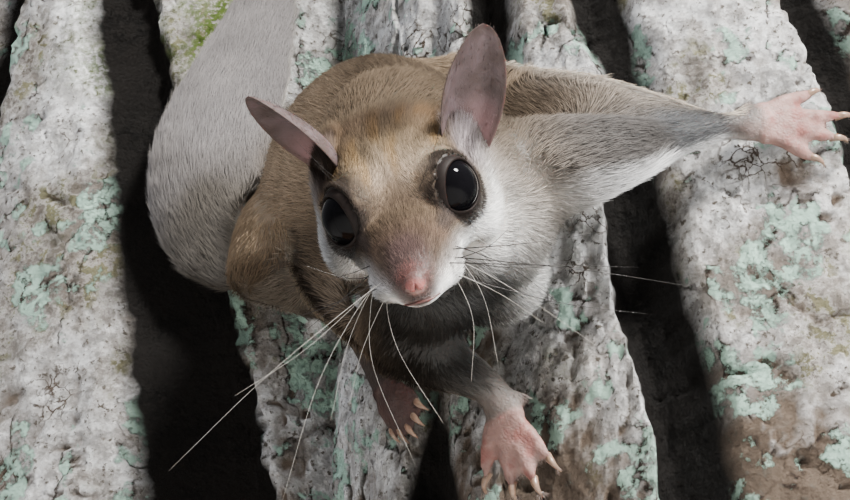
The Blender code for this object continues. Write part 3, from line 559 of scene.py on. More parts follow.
def coat_at(points, normals):
    """Lie, length, rise, width, colour and part of the coat at points of the skin."""
    weights = np.array([(np.maximum(segment_distance(points, b["start"], b["end"])[0], 0.3) / b["radius"]) ** -6.0
                        for b in BONES]).T
    part = weights.argmax(axis=1)
    weights /= weights.sum(axis=1, keepdims=True)
    lie = weights @ np.array([unit(b["end"] - b["start"]) for b in BONES])
    length, rise, width = (weights @ np.array([b[key] for b in BONES]) for key in ("length", "rise", "width"))
    colour = np.zeros((len(points), 3))
    for k, b in enumerate(BONES):
        share = ramp(*b["share"], normals @ b["dorsal"])
        colour += weights[:, k:k + 1] * mix(b["below"], b["above"], share)
    local = (points - HEAD_AT) @ HEAD_AXES.T
    on_head = ramp(0.35, 0.65, weights[:, :HEAD_BONES].sum(axis=1))
    colour = mix(colour, head_colour(points, local), on_head)
    for side in SIDES:
        away = distance_to(points, eye_centre(side))
        pull = (ramp(8.5, 5.0, away) * on_head)[:, None]
        lie = lie + pull * 0.8 * unit(points - eye_centre(side))
        length = length * mix(1.0, 0.45, ramp(8.0, 5.2, away) * on_head)
        tuft = ramp(6.5, 4.0, distance_to(points, ear_root(side))) * on_head
        lie = lie + (1.6 * tuft)[:, None] * head_way(*EAR_TOP[side])
        length, rise = length * (1 + 0.5 * tuft), rise + 12 * tuft
    length = length * mix(1.0, 0.5, ramp(6.5, 3.0, distance_to(points, NOSE_TIP)))
    on_tail = ramp(0.3, 0.7, weights[:, TAIL_START:].sum(axis=1))
    colour = body_pattern(points, colour, np.clip(1 - on_tail - on_head, 0, 1), 1 - on_head)
    lie = lie - normals * np.sum(lie * normals, axis=1)[:, None]
    grain = mix(0.8, 1.0, on_head) * np.where(part >= TAIL_START, 0.45, 1.0)
    return {"lie": unit(lie), "length": length, "rise": rise, "width": width, "colour": colour,
            "grain": grain, "part": part}


def bare_at(points):
    """How bare the skin is: 1 on nose, lids, digits and mouth, 0 under the full coat."""
    bare = ramp(1.9, 1.2, distance_to(points, NOSE_PAD + HEAD_FORWARD))
    bare = np.maximum(bare, ramp(4.75, 4.45, nearest(points, eye_centre)))
    for side in SIDES:
        for part in ("hand", "foot"):
            for root, way, length in digit_lines(part, side):
                near, _ = segment_distance(points, root + way, root + way * (length + CLAW_LENGTH))
                bare = np.maximum(bare, ramp(3.0, 1.9, near))
    return np.maximum(bare, 0.7 * ramp(0.6, 0.3, path_distance(points, MOUTH_LINE)))


class SquirrelSkinSettings(bpy.types.PropertyGroup):
    voxel: bpy.props.FloatProperty(name="Skin detail", description="Edge length of the skin's faces",
                                   default=0.00058, min=0.0002, max=0.002, unit="LENGTH", precision=5)
    coat_depth: bpy.props.FloatProperty(name="Coat depth", description="How far the skin lies under the coat",
                                        default=0.0008, min=0.0, max=0.004, unit="LENGTH", precision=5)
    pink: bpy.props.FloatVectorProperty(name="Bare skin", description="Colour of nose, hands and feet",
                                        default=tuple(linear("#7E635D")), size=3, subtype="COLOR",
                                        min=0, max=1)


class SquirrelCoatSettings(bpy.types.PropertyGroup):
    head_tufts: bpy.props.IntProperty(name="Head tufts", description="Tufts on the head",
                                      default=140000, min=100, max=180000)
    body_tufts: bpy.props.IntProperty(name="Body tufts", description="Tufts on body and limbs",
                                      default=130000, min=100, max=180000)
    tail_tufts: bpy.props.IntProperty(name="Tail tufts", description="Tufts on the tail",
                                      default=72000, min=100, max=96000)
    length: bpy.props.FloatProperty(name="Coat length", description="Length of all tufts against the usual",
                                    default=1.0, min=0.2, max=2.0, subtype="FACTOR")


class SquirrelTrunkSettings(bpy.types.PropertyGroup):
    furrow: bpy.props.FloatProperty(name="Furrow depth", default=1.0, min=0.0, max=1.5, subtype="FACTOR",
                                    description="Depth of the bark's furrows against the usual")
    lichen: bpy.props.FloatVectorProperty(name="Lichen", description="Colour of the lichen crust",
                                          default=tuple(linear("#A5C2B2")), size=3, subtype="COLOR",
                                          min=0, max=1)


class SquirrelStudioSettings(bpy.types.PropertyGroup):
    lens: bpy.props.FloatProperty(name="Lens", description="Focal length on a 36 mm sensor",
                                  default=88.94, min=20, max=200, subtype="DISTANCE_CAMERA")
    key: bpy.props.FloatProperty(name="Key light", description="Power of the main soft light",
                                 default=5.0, min=0, max=100, unit="POWER")


def settings(name):
    return getattr(bpy.context.scene, name)


GAP_SWELL = 0.00028
FACE_MIDDLE, FACE_REACH = (4, 0, -2), 17


def soften(points, edges, amount, times):
    """Pull each point towards the middle of its neighbours."""
    count = len(points)
    degree = np.bincount(edges.ravel(), minlength=count)
    for _ in range(times):
        total = np.zeros_like(points)
        for axis in range(3):
            total[:, axis] = (np.bincount(edges[:, 0], points[edges[:, 1], axis], count)
                              + np.bincount(edges[:, 1], points[edges[:, 0], axis], count))
        points = points + (total / np.maximum(degree, 1)[:, None] - points) * amount[:, None]
    return points


def thickness(mesh, normals):
    """Millimetres of flesh under each point of a closed mesh, at most 9."""
    tree = BVHTree.FromPolygons([v.co for v in mesh.vertices], [f.vertices for f in mesh.polygons])
    deep = np.full(len(mesh.vertices), 9.0)
    for k, v in enumerate(mesh.vertices):
        way = Vector(-normals[k])
        hit = tree.ray_cast(v.co + way * 0.00005, way, 0.009)
        if hit[0] is not None:
            deep[k] = hit[3] / MM
    return deep


def skin_material():
    """Bare skin of hands and feet: thin and finely wrinkled, a little moist, pink from the blood in it."""
    material, tree, surface = new_material("bare skin", Roughness=0.5, Specular_IOR_Level=0.3, IOR=1.4,
                                           Subsurface_Weight=0.12, Subsurface_Scale=0.0012)
    wrinkles = pattern(tree, "ShaderNodeTexVoronoi", 0.0006, {"feature": "DISTANCE_TO_EDGE"})["Distance"]
    fine = pattern(tree, "ShaderNodeTexNoise", 0.0007, {"Detail": 4.0})["Fac"]
    blotch = pattern(tree, "ShaderNodeTexNoise", 0.002, {"Detail": 3.0})["Fac"]
    tone = node(tree, "ShaderNodeMapRange", {"To Min": 0.55, "To Max": 1.3}, Value=blotch).outputs["Result"]
    tint = node(tree, "ShaderNodeMix", {"data_type": "RGBA", "blend_type": "MULTIPLY", 0: 1.0},
                _6=mesh_colours(tree), _7=tone)
    tree.links.new(tint.outputs[2], surface.inputs["Base Color"])
    relief(tree, surface, (wrinkles, 0.0002, 0.45), (fine, 0.0003, 0.5))
    return material


def set_points(mesh, points):
    mesh.vertices.foreach_set("co", (points * MM).astype(np.float32).ravel())
    mesh.update()


def flesh_mesh(context, voxel):
    """All solids of flesh and the ruff run together into one even mesh."""
    whole = bmesh.new()
    for name in FLESH:
        whole.from_mesh(frame["nodes"][name].data)
    for x, y, z, radius in RUFF:
        bmesh.ops.create_icosphere(whole, subdivisions=3, radius=radius * MM,
                                   matrix=Matrix.Translation((x * MM, y * MM, z * MM)))
    bmesh.ops.remove_doubles(whole, verts=whole.verts[:], dist=1e-6)
    mesh = bpy.data.meshes.new("skin forms")
    whole.to_mesh(mesh)
    whole.free()
    shape = bpy.data.objects.new("skin forms", mesh)
    context.scene.collection.objects.link(shape)
    swell = shape.modifiers.new("close the gaps", "DISPLACE")
    swell.mid_level, swell.strength = 0.0, GAP_SWELL
    cover = shape.modifiers.new("cover", "REMESH")
    cover.mode, cover.voxel_size = "VOXEL", voxel
    context.view_layer.update()
    skin = bpy.data.meshes.new_from_object(shape.evaluated_get(context.evaluated_depsgraph_get()))
    bpy.data.objects.remove(shape)
    return skin


def unwrap(context, piece):
    context.view_layer.objects.active = piece
    piece.select_set(True)
    piece.data.uv_layers.new(name="OFBake")
    bpy.ops.object.mode_set(mode="EDIT")
    bpy.ops.mesh.select_all(action="SELECT")
    bpy.ops.uv.smart_project(angle_limit=math.radians(70), island_margin=0.001)
    bpy.ops.object.mode_set(mode="OBJECT")
    piece.select_set(False)


class SQUIRREL_OT_skin(bpy.types.Operator):
    """Run the flesh solids together into one skin that lies just under the coat"""
    bl_idname = "squirrel.skin"
    bl_label = "Skin"

    def execute(self, context):
        sizes = settings("squirrel_skin")
        skin = flesh_mesh(context, sizes.voxel)
        points, edges = mesh_points(skin), np.empty(len(skin.edges) * 2, np.int32)
        skin.edges.foreach_get("vertices", edges)
        edges = edges.reshape(-1, 2)
        bare = bare_at(points)
        face = distance_to(points, head_point(*FACE_MIDDLE)) < FACE_REACH
        fine = ramp(0.35, 0.65, np.maximum(bare, face * 0.5))
        points = soften(points, edges, mix(0.5, 0.35, fine), 3)
        points = soften(points, edges, mix(0.5, 0.0, fine), 14)
        set_points(skin, points)
        normals = mesh_normals(skin)
        coat = coat_at(points, normals)
        # Under long hair the skin lies deeper, but never past a share of thin flesh
        depth = sizes.coat_depth / MM * np.clip(coat["length"] / 3.0, 0.3, 1.6) * (1 - bare) + 0.22
        depth = np.minimum(depth, 0.28 * thickness(skin, normals))
        depth += 1.4 * np.exp(-(nearest(points, ear_canal) / 2.8) ** 2)
        points = points - normals * depth[:, None]
        set_points(skin, points)
        under = coat["colour"] * mix(0.5, 0.9, ramp(0.2, 0.6, coat["colour"].mean(axis=1)))[:, None]
        pink = np.array(sizes.pink) * (0.6 + 0.8 * layered_noise(points / 1.1, 3))[:, None]
        pink = mix(pink, linear("#6E3C37"), 0.6 * ramp(0.52, 0.66, layered_noise(points / 2.0, 4)))
        shown = mix(pink, linear("#1A1513"), ramp(7.0, 6.0, nearest(points, eye_centre)))
        # Painted shade darkens the skin of the right foot
        shown = mix(shown, linear("#2E2422"), 0.9 * ramp(16, 9, distance_to(points, TOES["right"])))
        set_colours(skin, mix(under, shown, bare))
        unwrap(context, placed("squirrel_skin", skin, skin_material(), FLESH))
        return {"FINISHED"}


def fur_material():
    """Short dense fur: fine matt hairs that trap the light between them, so hardly any gloss."""
    material, tree, surface = new_material("short dense fur", Roughness=0.7, Specular_IOR_Level=0.08)
    tree.links.new(mesh_colours(tree), surface.inputs["Base Color"])
    return material


ROOT_DEPTH = 0.12
TUFT_FACES = ((0, 2, 1), (0, 1, 3), (1, 2, 3), (2, 0, 3))
TUFT_UNWRAP = ((-0.0014, -0.0014), (0.0014, -0.0014), (0.0, -0.0008), (0.0, 0.0014))
PIECE_TUFTS = 48000


def skin_samples(piece, count, keep, draw):
    """Evenly spread roots on the skin where keep allows: points, normals and unwrap places."""
    mesh = piece.data
    points, normals = mesh_points(mesh), mesh_normals(mesh)
    mesh.calc_loop_triangles()
    corners = np.empty(len(mesh.loop_triangles) * 3, np.int32)
    loops = np.empty(len(mesh.loop_triangles) * 3, np.int32)
    mesh.loop_triangles.foreach_get("vertices", corners)
    mesh.loop_triangles.foreach_get("loops", loops)
    corners, loops = corners.reshape(-1, 3), loops.reshape(-1, 3)
    uv = np.empty(len(mesh.loops) * 2, np.float32)
    mesh.uv_layers["OFBake"].data.foreach_get("uv", uv)
    uv = uv.reshape(-1, 2)
    a, b, c = (points[corners[:, k]] for k in range(3))
    area = np.linalg.norm(np.cross(b - a, c - a), axis=1) / 2
    area = area * keep((a + b + c) / 3, unit(normals[corners].sum(axis=1)))
    total = area.sum()
    pick = draw.choice(len(area), size=count * 3, p=area / total)
    r1, r2 = np.sqrt(draw.random(len(pick))), draw.random(len(pick))
    bary = np.stack([1 - r1, r1 * (1 - r2), r1 * r2], axis=1)
    spot = np.einsum("ij,ijk->ik", bary, points[corners[pick]])
    normal = unit(np.einsum("ij,ijk->ik", bary, normals[corners[pick]]))
    place = np.einsum("ij,ijk->ik", bary, uv[loops[pick]])
    low, high = 0.02, 2.0
    chosen = np.arange(len(spot))
    for _ in range(14):
        cell = (low + high) / 2
        _, first = np.unique(np.floor(spot / cell).astype(np.int64), axis=0, return_index=True)
        if len(first) > count:
            low = cell
            chosen = first
        else:
            high = cell
    chosen = np.sort(draw.permutation(chosen)[:count])
    return spot[chosen], normal[chosen], place[chosen]


def tuft_arrays(roots, normals, place, coat, draw, scale):
    """Tapering three-sided tufts: points, faces, colours and unwrap places."""
    count = len(roots)
    lie, side = coat["lie"], np.cross(normals, coat["lie"])
    wave = layered_noise(roots / 5.0, 7, 3) - 0.5
    yaw = np.radians(draw.normal(0, 8, count) + 30 * wave)
    lie = lie * np.cos(yaw)[:, None] + side * np.sin(yaw)[:, None]
    side = np.cross(normals, lie)
    length = coat["length"] * scale * draw.uniform(0.65, 1.25, count)
    rise = np.radians(coat["rise"] * draw.uniform(0.3, 1.6, count))
    width = coat["width"] * draw.uniform(0.75, 1.2, count)
    first, second = (lie * np.cos(tilt)[:, None] + normals * np.sin(tilt)[:, None]
                     for tilt in (rise, rise * 0.15 - 0.05))
    start = roots - normals * ROOT_DEPTH
    points = [start + side * (width * across)[:, None] + normals * (width * lift)[:, None]
              for across, lift in ((-1.0, -0.3), (1.0, -0.3), (0.0, 0.75))]
    points.append(start + unit(first + second * 0.5) * length[:, None])
    faces = (np.arange(count)[:, None, None] * 4 + np.array(TUFT_FACES)[None]).reshape(-1, 3)
    tone = draw.normal(0.0, 0.16, count) + 0.3 * (layered_noise(roots / 3.0, 5, 2) - 0.5)
    tone += 0.35 * (lattice_noise(roots / 0.7, 6) - 0.5)
    strand = draw.random(count)
    tone = 1 + coat["grain"] * (tone + np.where(strand > 0.93, 0.4, np.where(strand < 0.12, -0.4, 0)))
    body = coat["colour"] * np.clip(tone, 0.25, 2.0)[:, None]
    # Dark at the root and light at the tip, less so in pale fur
    level = mix(vec(0.45, 1.25), vec(0.85, 1.12), ramp(0.15, 0.55, coat["colour"].mean(axis=1)))[:, [0, 0, 0, 1]]
    colours = np.clip(body[:, None, :] * level[..., None], 0, 1)
    places = place[:, None, :] + ((draw.random((count, 1, 2)) - 0.5) * 0.0005 + np.array(TUFT_UNWRAP)[None])
    return np.stack(points, axis=1).reshape(-1, 3), faces, colours.reshape(-1, 3), places.reshape(-1, 2)


def coat_piece(name, arrays, material):
    points, faces, colours, places = arrays
    mesh = array_mesh(name, points, faces)
    set_colours(mesh, colours)
    layer = mesh.uv_layers.new(name="OFBake")
    layer.data.foreach_set("uv", places[faces.ravel()].astype(np.float32).ravel())
    return placed(name, mesh, material)


def over_bark(points):
    """Height over the nearest stem's unfurrowed bark."""
    return np.min([np.hypot(points[:, 0] - x, points[:, 1] - y) - r for x, y, r in STEMS], axis=0)


class SQUIRREL_OT_coat(bpy.types.Operator):
    """Root thin tufts all over the skin, along the lie of the coat"""
    bl_idname = "squirrel.coat"
    bl_label = "Coat"

    def execute(self, context):
        sizes = settings("squirrel_coat")
        skin = bpy.data.objects["squirrel_skin"]
        material = fur_material()
        share = 1.0

        def zone(names, closer):
            """How thickly tufts of these parts of the coat grow at points."""
            kinds = [k for k, name in enumerate(NAMES) if name in names]

            def keep(points, normals):
                part = coat_at(points, normals)["part"]
                free = ramp(0.3, 1.4, over_bark(points)) * (1 - ramp(0.55, 0.9, bare_at(points)))
                return np.isin(part, kinds) * free * closer(points)
            return keep

        head = {"muzzle", "face", "crown"}
        plans = (
            ("head", head, sizes.head_tufts, lambda p: 1 + 1.2 * ramp(9, 3, distance_to(p, NOSE_TIP))),
            ("body", set(NAMES) - head - {"tail"}, sizes.body_tufts, lambda p: 1 + 1.4 * ramp(-62, -80, p[:, 1])),
            ("tail", {"tail"}, sizes.tail_tufts, lambda p: 1.0))
        for number, (name, names, count, closer) in enumerate(plans):
            draw = np.random.default_rng(101 + number)
            roots, normals, place = skin_samples(skin, int(count * share), zone(names, closer), draw)
            coat = coat_at(roots, normals)
            if share < 1:
                coat["width"] = coat["width"] / math.sqrt(share)
            order = draw.permutation(len(roots))
            for start in range(0, len(order), PIECE_TUFTS):
                some = order[start:start + PIECE_TUFTS]
                part = {key: value[some] for key, value in coat.items()}
                arrays = tuft_arrays(roots[some], normals[some], place[some], part, draw, sizes.length)
                coat_piece(f"coat_{name}_{start // PIECE_TUFTS + 1}", arrays, material)
        return {"FINISHED"}


CORNEA_SWELL = 0.018
LID_ANGLE, LID_RADIUS = EYE_OPENING + 7, 4.22
LID_HALF_WIDTH, LID_HALF_THICKNESS = 1.2, 0.32
NOSE_RADII = (1.85, 1.55, 1.2)


def eyeball(side):
    """Round ball with its pole on the eye's axis and a faint swell over the cornea."""
    axis = eye_axis(side)
    first = unit(np.cross(axis, vec(0, 0, 1)))
    second = np.cross(axis, first)
    rings, around = 40, 64
    a = np.repeat(math.pi * np.arange(1, rings) / rings, around)
    b = np.tile(2 * math.pi * np.arange(around) / around, rings - 1)
    swell = 1.0 + CORNEA_SWELL * np.exp(-(a / 0.7) ** 2)
    turned = first * np.cos(b)[:, None] + second * np.sin(b)[:, None]
    ball = swell[:, None] * (axis * np.cos(a)[:, None] + turned * np.sin(a)[:, None])
    points = eye_centre(side) + EYE_RADIUS * np.vstack([[axis * (1 + CORNEA_SWELL)], ball, [-axis]])
    ring = 1 + np.arange(around)
    beside = 1 + (np.arange(around) + 1) % around
    last, base = np.full(around, len(points) - 1), (rings - 2) * around
    return points, np.vstack([np.stack([np.zeros(around, int), ring, beside], axis=1),
                              np.stack([last, base + beside, base + ring], axis=1),
                              halved(1 + grid_quads(rings - 1, around)[:, TURNED])])


def lid_rim(side):
    """Rim of the lids, drawn out a little to a corner at the front and the back."""
    axis = eye_axis(side)
    front = unit(HEAD_FORWARD - axis * (HEAD_FORWARD @ axis))
    upward = np.cross(axis, front) * SIGN[side]
    a = 2 * math.pi * np.arange(97) / 96
    corner = 4.5 * np.maximum(0, np.cos(a)) ** 6 + 2.5 * np.maximum(0, -np.cos(a)) ** 6 - 6 * np.abs(np.sin(a))
    tilt = np.radians(LID_ANGLE + corner)[:, None]
    turned = front * np.cos(a)[:, None] + upward * np.sin(a)[:, None]
    path = eye_centre(side) + LID_RADIUS * (axis * np.cos(tilt) + turned * np.sin(tilt))
    out = unit(path - eye_centre(side))
    across = unit(np.cross(unit(np.gradient(path, axis=0)), out))
    sides = 10
    points = around_path(path[:-1], across[:-1] * LID_HALF_WIDTH, out[:-1] * LID_HALF_THICKNESS, sides)
    return points, halved(grid_quads(96, sides, (True, True)))


class SQUIRREL_OT_eyes(bpy.types.Operator):
    """Large dark eyes and the rims of their lids"""
    bl_idname = "squirrel.eyes"
    bl_label = "Eyes and lids"

    def execute(self, context):
        # Living eye: a clear wet cornea, smooth as glass, over an iris so dark that it looks black
        wet = grained_material("wet dark eye", 0.003, {"Detail": 2.0}, ((0, "#040405"), (1, "#0A090B")),
                               Roughness=0.03, IOR=1.376, Specular_IOR_Level=0.1)
        # Rims of the lids: dark hairless skin, finely creased and a little moist, so a dull sheen
        rim = grained_material("dark moist lid", 0.0004, {"Detail": 3.0}, ((0, "#0C0908"), (1, "#1C1513")),
                               (0.0001, 0.4), Roughness=0.6, Specular_IOR_Level=0.12, Subsurface_Weight=0.05,
                               Subsurface_Scale=0.0005)
        for side in SIDES:
            placed("eye_ball_" + side, array_mesh("eye", *eyeball(side)), wet, ["eye_" + side])
            placed("lid_rim_" + side, array_mesh("lid", *lid_rim(side)), rim)
        return {"FINISHED"}


def nose_pad():
    """Pad with two comma nostrils and a groove down its middle."""
    rings, around = 72, 128
    a = np.repeat(math.pi * 0.62 * np.arange(rings + 1) / rings, around)
    b = np.tile(2 * math.pi * np.arange(around) / around, rings + 1)
    f, l, u = np.cos(a), np.sin(a) * np.cos(b), np.sin(a) * np.sin(b)
    swell = np.ones(len(a))
    for s in (-1, 1):
        x, y = l - s * 0.62, u + 0.18
        swell += 0.10 * np.exp(-(x * x + y * y) / 0.09)
        slit = np.exp(-((x * 0.9 + s * y * 0.35) ** 2 / 0.020 + (y + 0.02) ** 2 / 0.010))
        comma = np.exp(-((x - s * 0.16) ** 2 / 0.02 + (y - 0.02) ** 2 / 0.004))
        swell -= 0.42 * slit + 0.16 * comma
    swell += 0.10 * np.exp(-((np.abs(l) - 0.45) / 0.28) ** 2 - ((u + 0.15) / 0.5) ** 2)
    swell -= 0.20 * np.exp(-(l / 0.10) ** 2) / (1 + np.exp((u - 0.35) * 9))
    wide = 0.6 + 0.4 * swell
    grown = np.stack([f * swell, l * wide, u * wide], axis=1) * NOSE_RADII
    faces = halved(grid_quads(rings + 1, around)[:, TURNED])
    # The first ring lies on the pole, so half of its triangles have no area
    half = len(faces) // 2
    return NOSE_PAD + grown @ HEAD_AXES, np.vstack([faces[:half], faces[half + around:]])


class SQUIRREL_OT_nose_and_mouth(bpy.types.Operator):
    """Nose pad with nostrils, and the line of the lips"""
    bl_idname = "squirrel.nose_and_mouth"
    bl_label = "Nose and mouth"

    def execute(self, context):
        # Nose leather: hairless pebbled skin, moist, so a soft sheen, and darker inside the nostrils as painted shade
        pad, tree, surface = new_material("moist nose leather", Roughness=0.5, Specular_IOR_Level=0.3,
                                          Subsurface_Weight=0.2, Subsurface_Scale=0.0012)
        pebbles = pattern(tree, "ShaderNodeTexVoronoi", 0.00028)["Distance"]
        tree.links.new(mesh_colours(tree), surface.inputs["Base Color"])
        relief(tree, surface, (pebbles, 0.00009, 0.6))
        points, faces = nose_pad()
        mesh = array_mesh("nose", points, faces)
        f, l, u = ((points - HEAD_AT) @ HEAD_AXES.T).T
        # Painted shade inside the nostrils
        nostril_shade = np.max([np.exp(-((l - s * 1.3) ** 2 / 0.16 + (u + 1.8) ** 2 / 0.10)) for s in (-1, 1)], axis=0)
        tone = mix(linear("#7C4D49"), linear("#483431"), ramp(16.6, 15.4, f))
        tone = tone * (0.8 + 0.4 * layered_noise(points / 0.8, 9))[:, None]
        set_colours(mesh, mix(tone, linear("#2A1513"), np.clip(nostril_shade * 1.3, 0, 1)))
        placed("nose_pad", mesh, pad)
        # Lips: thin dark skin kept wet by the mouth, so smoother than the pad
        lips = grained_material("lip skin", 0.0005, {}, ((0, "#2A1816"), (1, "#5A3632")),
                                Roughness=0.4, Subsurface_Weight=0.15, Subsurface_Scale=0.001)
        share = np.linspace(-1, 1, 60)
        line = tube(smooth_path(MOUTH_LINE, 60), 0.05 + 0.15 * (1 - share ** 2), 10)
        placed("lip_line", array_mesh("lips", *line), lips)
        return {"FINISHED"}


def smooth_path(points, count):
    """Smooth curve through points, sampled at even steps."""
    points = np.array(points, float)
    last = len(points) - 1
    padded = np.vstack([2 * points[0] - points[1], points, 2 * points[-1] - points[-2]])
    rows = []
    for step in np.linspace(0.0, last, count):
        i = min(int(step), last - 1)
        t = step - i
        a, b, c, d = padded[i:i + 4]
        rows.append(0.5 * (2 * b + (c - a) * t + (2 * a - 5 * b + 4 * c - d) * t ** 2
                           + (3 * b - a - 3 * c + d) * t ** 3))
    return np.array(rows)


EAR_THICKNESS = 0.62
EAR_DOWN = 3600


def ear_sheet(side):
    """Thin cup of skin, curled at its base, with a rounded rim and shallow folds; t runs up it, s across."""
    rows, columns = 44, 36
    sign = SIGN[side]
    top = head_way(*EAR_TOP[side])
    open_way = head_way(*EAR_OPEN[side])
    open_way = unit(open_way - top * (open_way @ top))
    across = np.cross(top, open_way)
    t = np.repeat(np.arange(rows + 1) / rows, columns + 1)
    s = np.tile(-1 + 2 * np.arange(columns + 1) / columns, rows + 1)
    half = EAR_HALF_WIDTH * (0.70 + 0.95 * t - 0.65 * t * t) * np.maximum(0, 1 - t ** 3) ** 0.6 + 0.05
    curl = np.radians(165 - 105 * t)
    angle = s * curl / 2
    height = EAR_LENGTH * t - (2.8 + 3.4 * s * s) * (1 - t)
    radius = half / np.maximum(np.sin(curl / 2), 0.35)
    swing = np.sin(math.pi * t)
    ripple = 0.22 * np.sin(7 * s + 2 * t) * swing * (1 - s * s)
    lean = -0.6 * swing * sign - sign * 3.2 * np.maximum(0, s * sign) * (1 - t) ** 3
    opened = radius * (np.cos(curl / 2) - np.cos(angle)) * 0.9 - 1.2 * t * t + ripple
    sheet = (ear_root(side) + np.outer(height, top) + np.outer(opened, open_way) + np.outer(lean, HEAD_LEFT)
             + np.outer(radius * np.sin(angle), across))
    facing = unit(np.outer(np.sin(angle), across) - np.outer(np.cos(angle), open_way))
    at_rim = np.minimum(0.15 + 3.5 * (1 - np.abs(s)), 0.15 + 6.0 * (1 - t))
    thin = (EAR_THICKNESS / 2 * (1 - 0.4 * t) * np.minimum(1.0, at_rim))[:, None]
    wide, offset = columns + 1, len(sheet)
    quads = grid_quads(rows + 1, wide, (False, False))
    rim = list(range(wide)) + [r * wide + columns for r in range(1, rows + 1)]
    rim += [rows * wide + c for c in range(columns - 1, -1, -1)] + [r * wide for r in range(rows - 1, 0, -1)]
    rim, after = np.array(rim), np.roll(rim, -1)
    faces = np.vstack([halved(quads), halved(quads[:, [1, 0, 3, 2]] + offset),
                       halved(np.stack([rim, rim + offset, after + offset, after], axis=1))])
    return np.vstack([sheet - facing * thin, sheet + facing * thin]), faces, np.tile(t, 2), np.tile(s, 2), facing


class SQUIRREL_OT_ears(bpy.types.Operator):
    """Thin bare ears with a fine down"""
    bl_idname = "squirrel.ears"
    bl_label = "Ears"

    def execute(self, context):
        # Ear skin: nearly hairless and thin enough to let a little light through, with fine veins, soft and dull
        skin, tree, surface = new_material("thin ear skin", Roughness=0.6, Specular_IOR_Level=0.2,
                                           Subsurface_Weight=0.06, Subsurface_Scale=0.0006)
        tree.links.new(mesh_colours(tree), surface.inputs["Base Color"])
        veins = pattern(tree, "ShaderNodeTexNoise", 0.0022, {"Detail": 5.0, "Distortion": 1.2})["Fac"]
        grain = pattern(tree, "ShaderNodeTexNoise", 0.0003, {"Detail": 3.0})["Fac"]
        relief(tree, surface, (veins, 0.0004, 0.5), (grain, 0.00012, 0.4))
        fur = bpy.data.materials["short dense fur"]
        for number, side in enumerate(SIDES):
            points, faces, t, s, facing = ear_sheet(side)
            offset = len(facing)
            mesh = array_mesh("ear", points, faces)
            inner = np.arange(len(points)) < offset
            outward = s * SIGN[side]
            tone = mix(linear("#4F4344"), linear("#3C3230"), ramp(0.2, 0.8, layered_noise(points / 2.0, 21)))
            # Low inside the ear: pink skin on the outward half and painted shade in the hollow on the other half; dark
            # fur along the rim and at the tip
            for code, share in (("#7E6162", 0.8 * ramp(0.50, 0.15, t) * inner * ramp(-0.3, 0.7, outward)),
                                ("#2E211F", 0.8 * ramp(0.30, 0.12, t) * inner * ramp(0.5, -0.2, outward)),
                                ("#3A302B", 0.6 * ramp(0.80, 0.98, np.abs(s))),
                                ("#3A302B", 0.5 * ramp(0.86, 1.0, t))):
                tone = mix(tone, linear(code), share)
            set_colours(mesh, tone)
            placed("ear_shell_" + side, mesh, skin, ["ear_" + side])
            draw = np.random.default_rng(300 + number)
            pick = draw.integers(0, len(points), EAR_DOWN)
            grown = np.where(inner[pick], 0.5, 1.0) * ramp(1.0, 0.7, t[pick]) * ramp(1.0, 0.8, np.abs(s[pick]))
            pick = pick[draw.random(EAR_DOWN) < grown]
            count = len(pick)
            out = np.where(inner[pick][:, None], -1, 1) * facing[pick % offset]
            roots = points[pick] + draw.normal(0, 0.12, (count, 3))
            top = head_way(*EAR_TOP[side])
            down = {"lie": unit(top - out * (out @ top)[:, None]), "length": np.full(count, 0.8),
                    "rise": np.full(count, 11.0), "width": np.full(count, 0.035), "colour": tone[pick] * 1.35,
                    "grain": np.full(count, 0.8)}
            arrays = tuft_arrays(roots, out, np.full((count, 2), 0.5), down, draw, 1.0)
            coat_piece("ear_down_" + side, arrays, fur)
        return {"FINISHED"}


def dropped(point, height):
    """The same point at this height off the bark."""
    x, y, radius = nearest_stem(point)
    away = bark_normal(point) * (radius + height)
    return vec(x + away[0], y + away[1], point[2])


def claw(root, way, length):
    tip = dropped(root + way * length, DIGIT_RADIUS + 0.4)
    away = bark_normal(tip)
    hook = ((-0.5 / CLAW_LENGTH, 0.25), (0.3, 0.5), (0.72, 0.15), (1.02, 0.2 - DIGIT_RADIUS))
    path = smooth_path([tip + way * CLAW_LENGTH * along + away * lift for along, lift in hook], 14)
    return tube(path, np.interp(np.linspace(0, 1, 14), (0, 0.35, 0.75, 1), (0.58, 0.5, 0.28, 0.05)), 10, 1.1)


class SQUIRREL_OT_claws(bpy.types.Operator):
    """Hooked claws on every finger and toe"""
    bl_idname = "squirrel.claws"
    bl_label = "Claws"

    def execute(self, context):
        # Claw horn: polished by use and slightly see-through, so a clear gloss over streaks of amber and brown
        horn = grained_material("claw horn", 0.0006, {"Detail": 2.0}, ((0, "#4B3A30"), (1, "#8F7563")),
                                Roughness=0.28, Subsurface_Weight=0.1, Subsurface_Scale=0.0008)
        for part in ("hand", "foot"):
            for side in SIDES:
                made = [claw(*line) for line in digit_lines(part, side)]
                placed(f"claws_{part}_{side}", array_mesh("claws", *gathered(made)), horn)
        return {"FINISHED"}


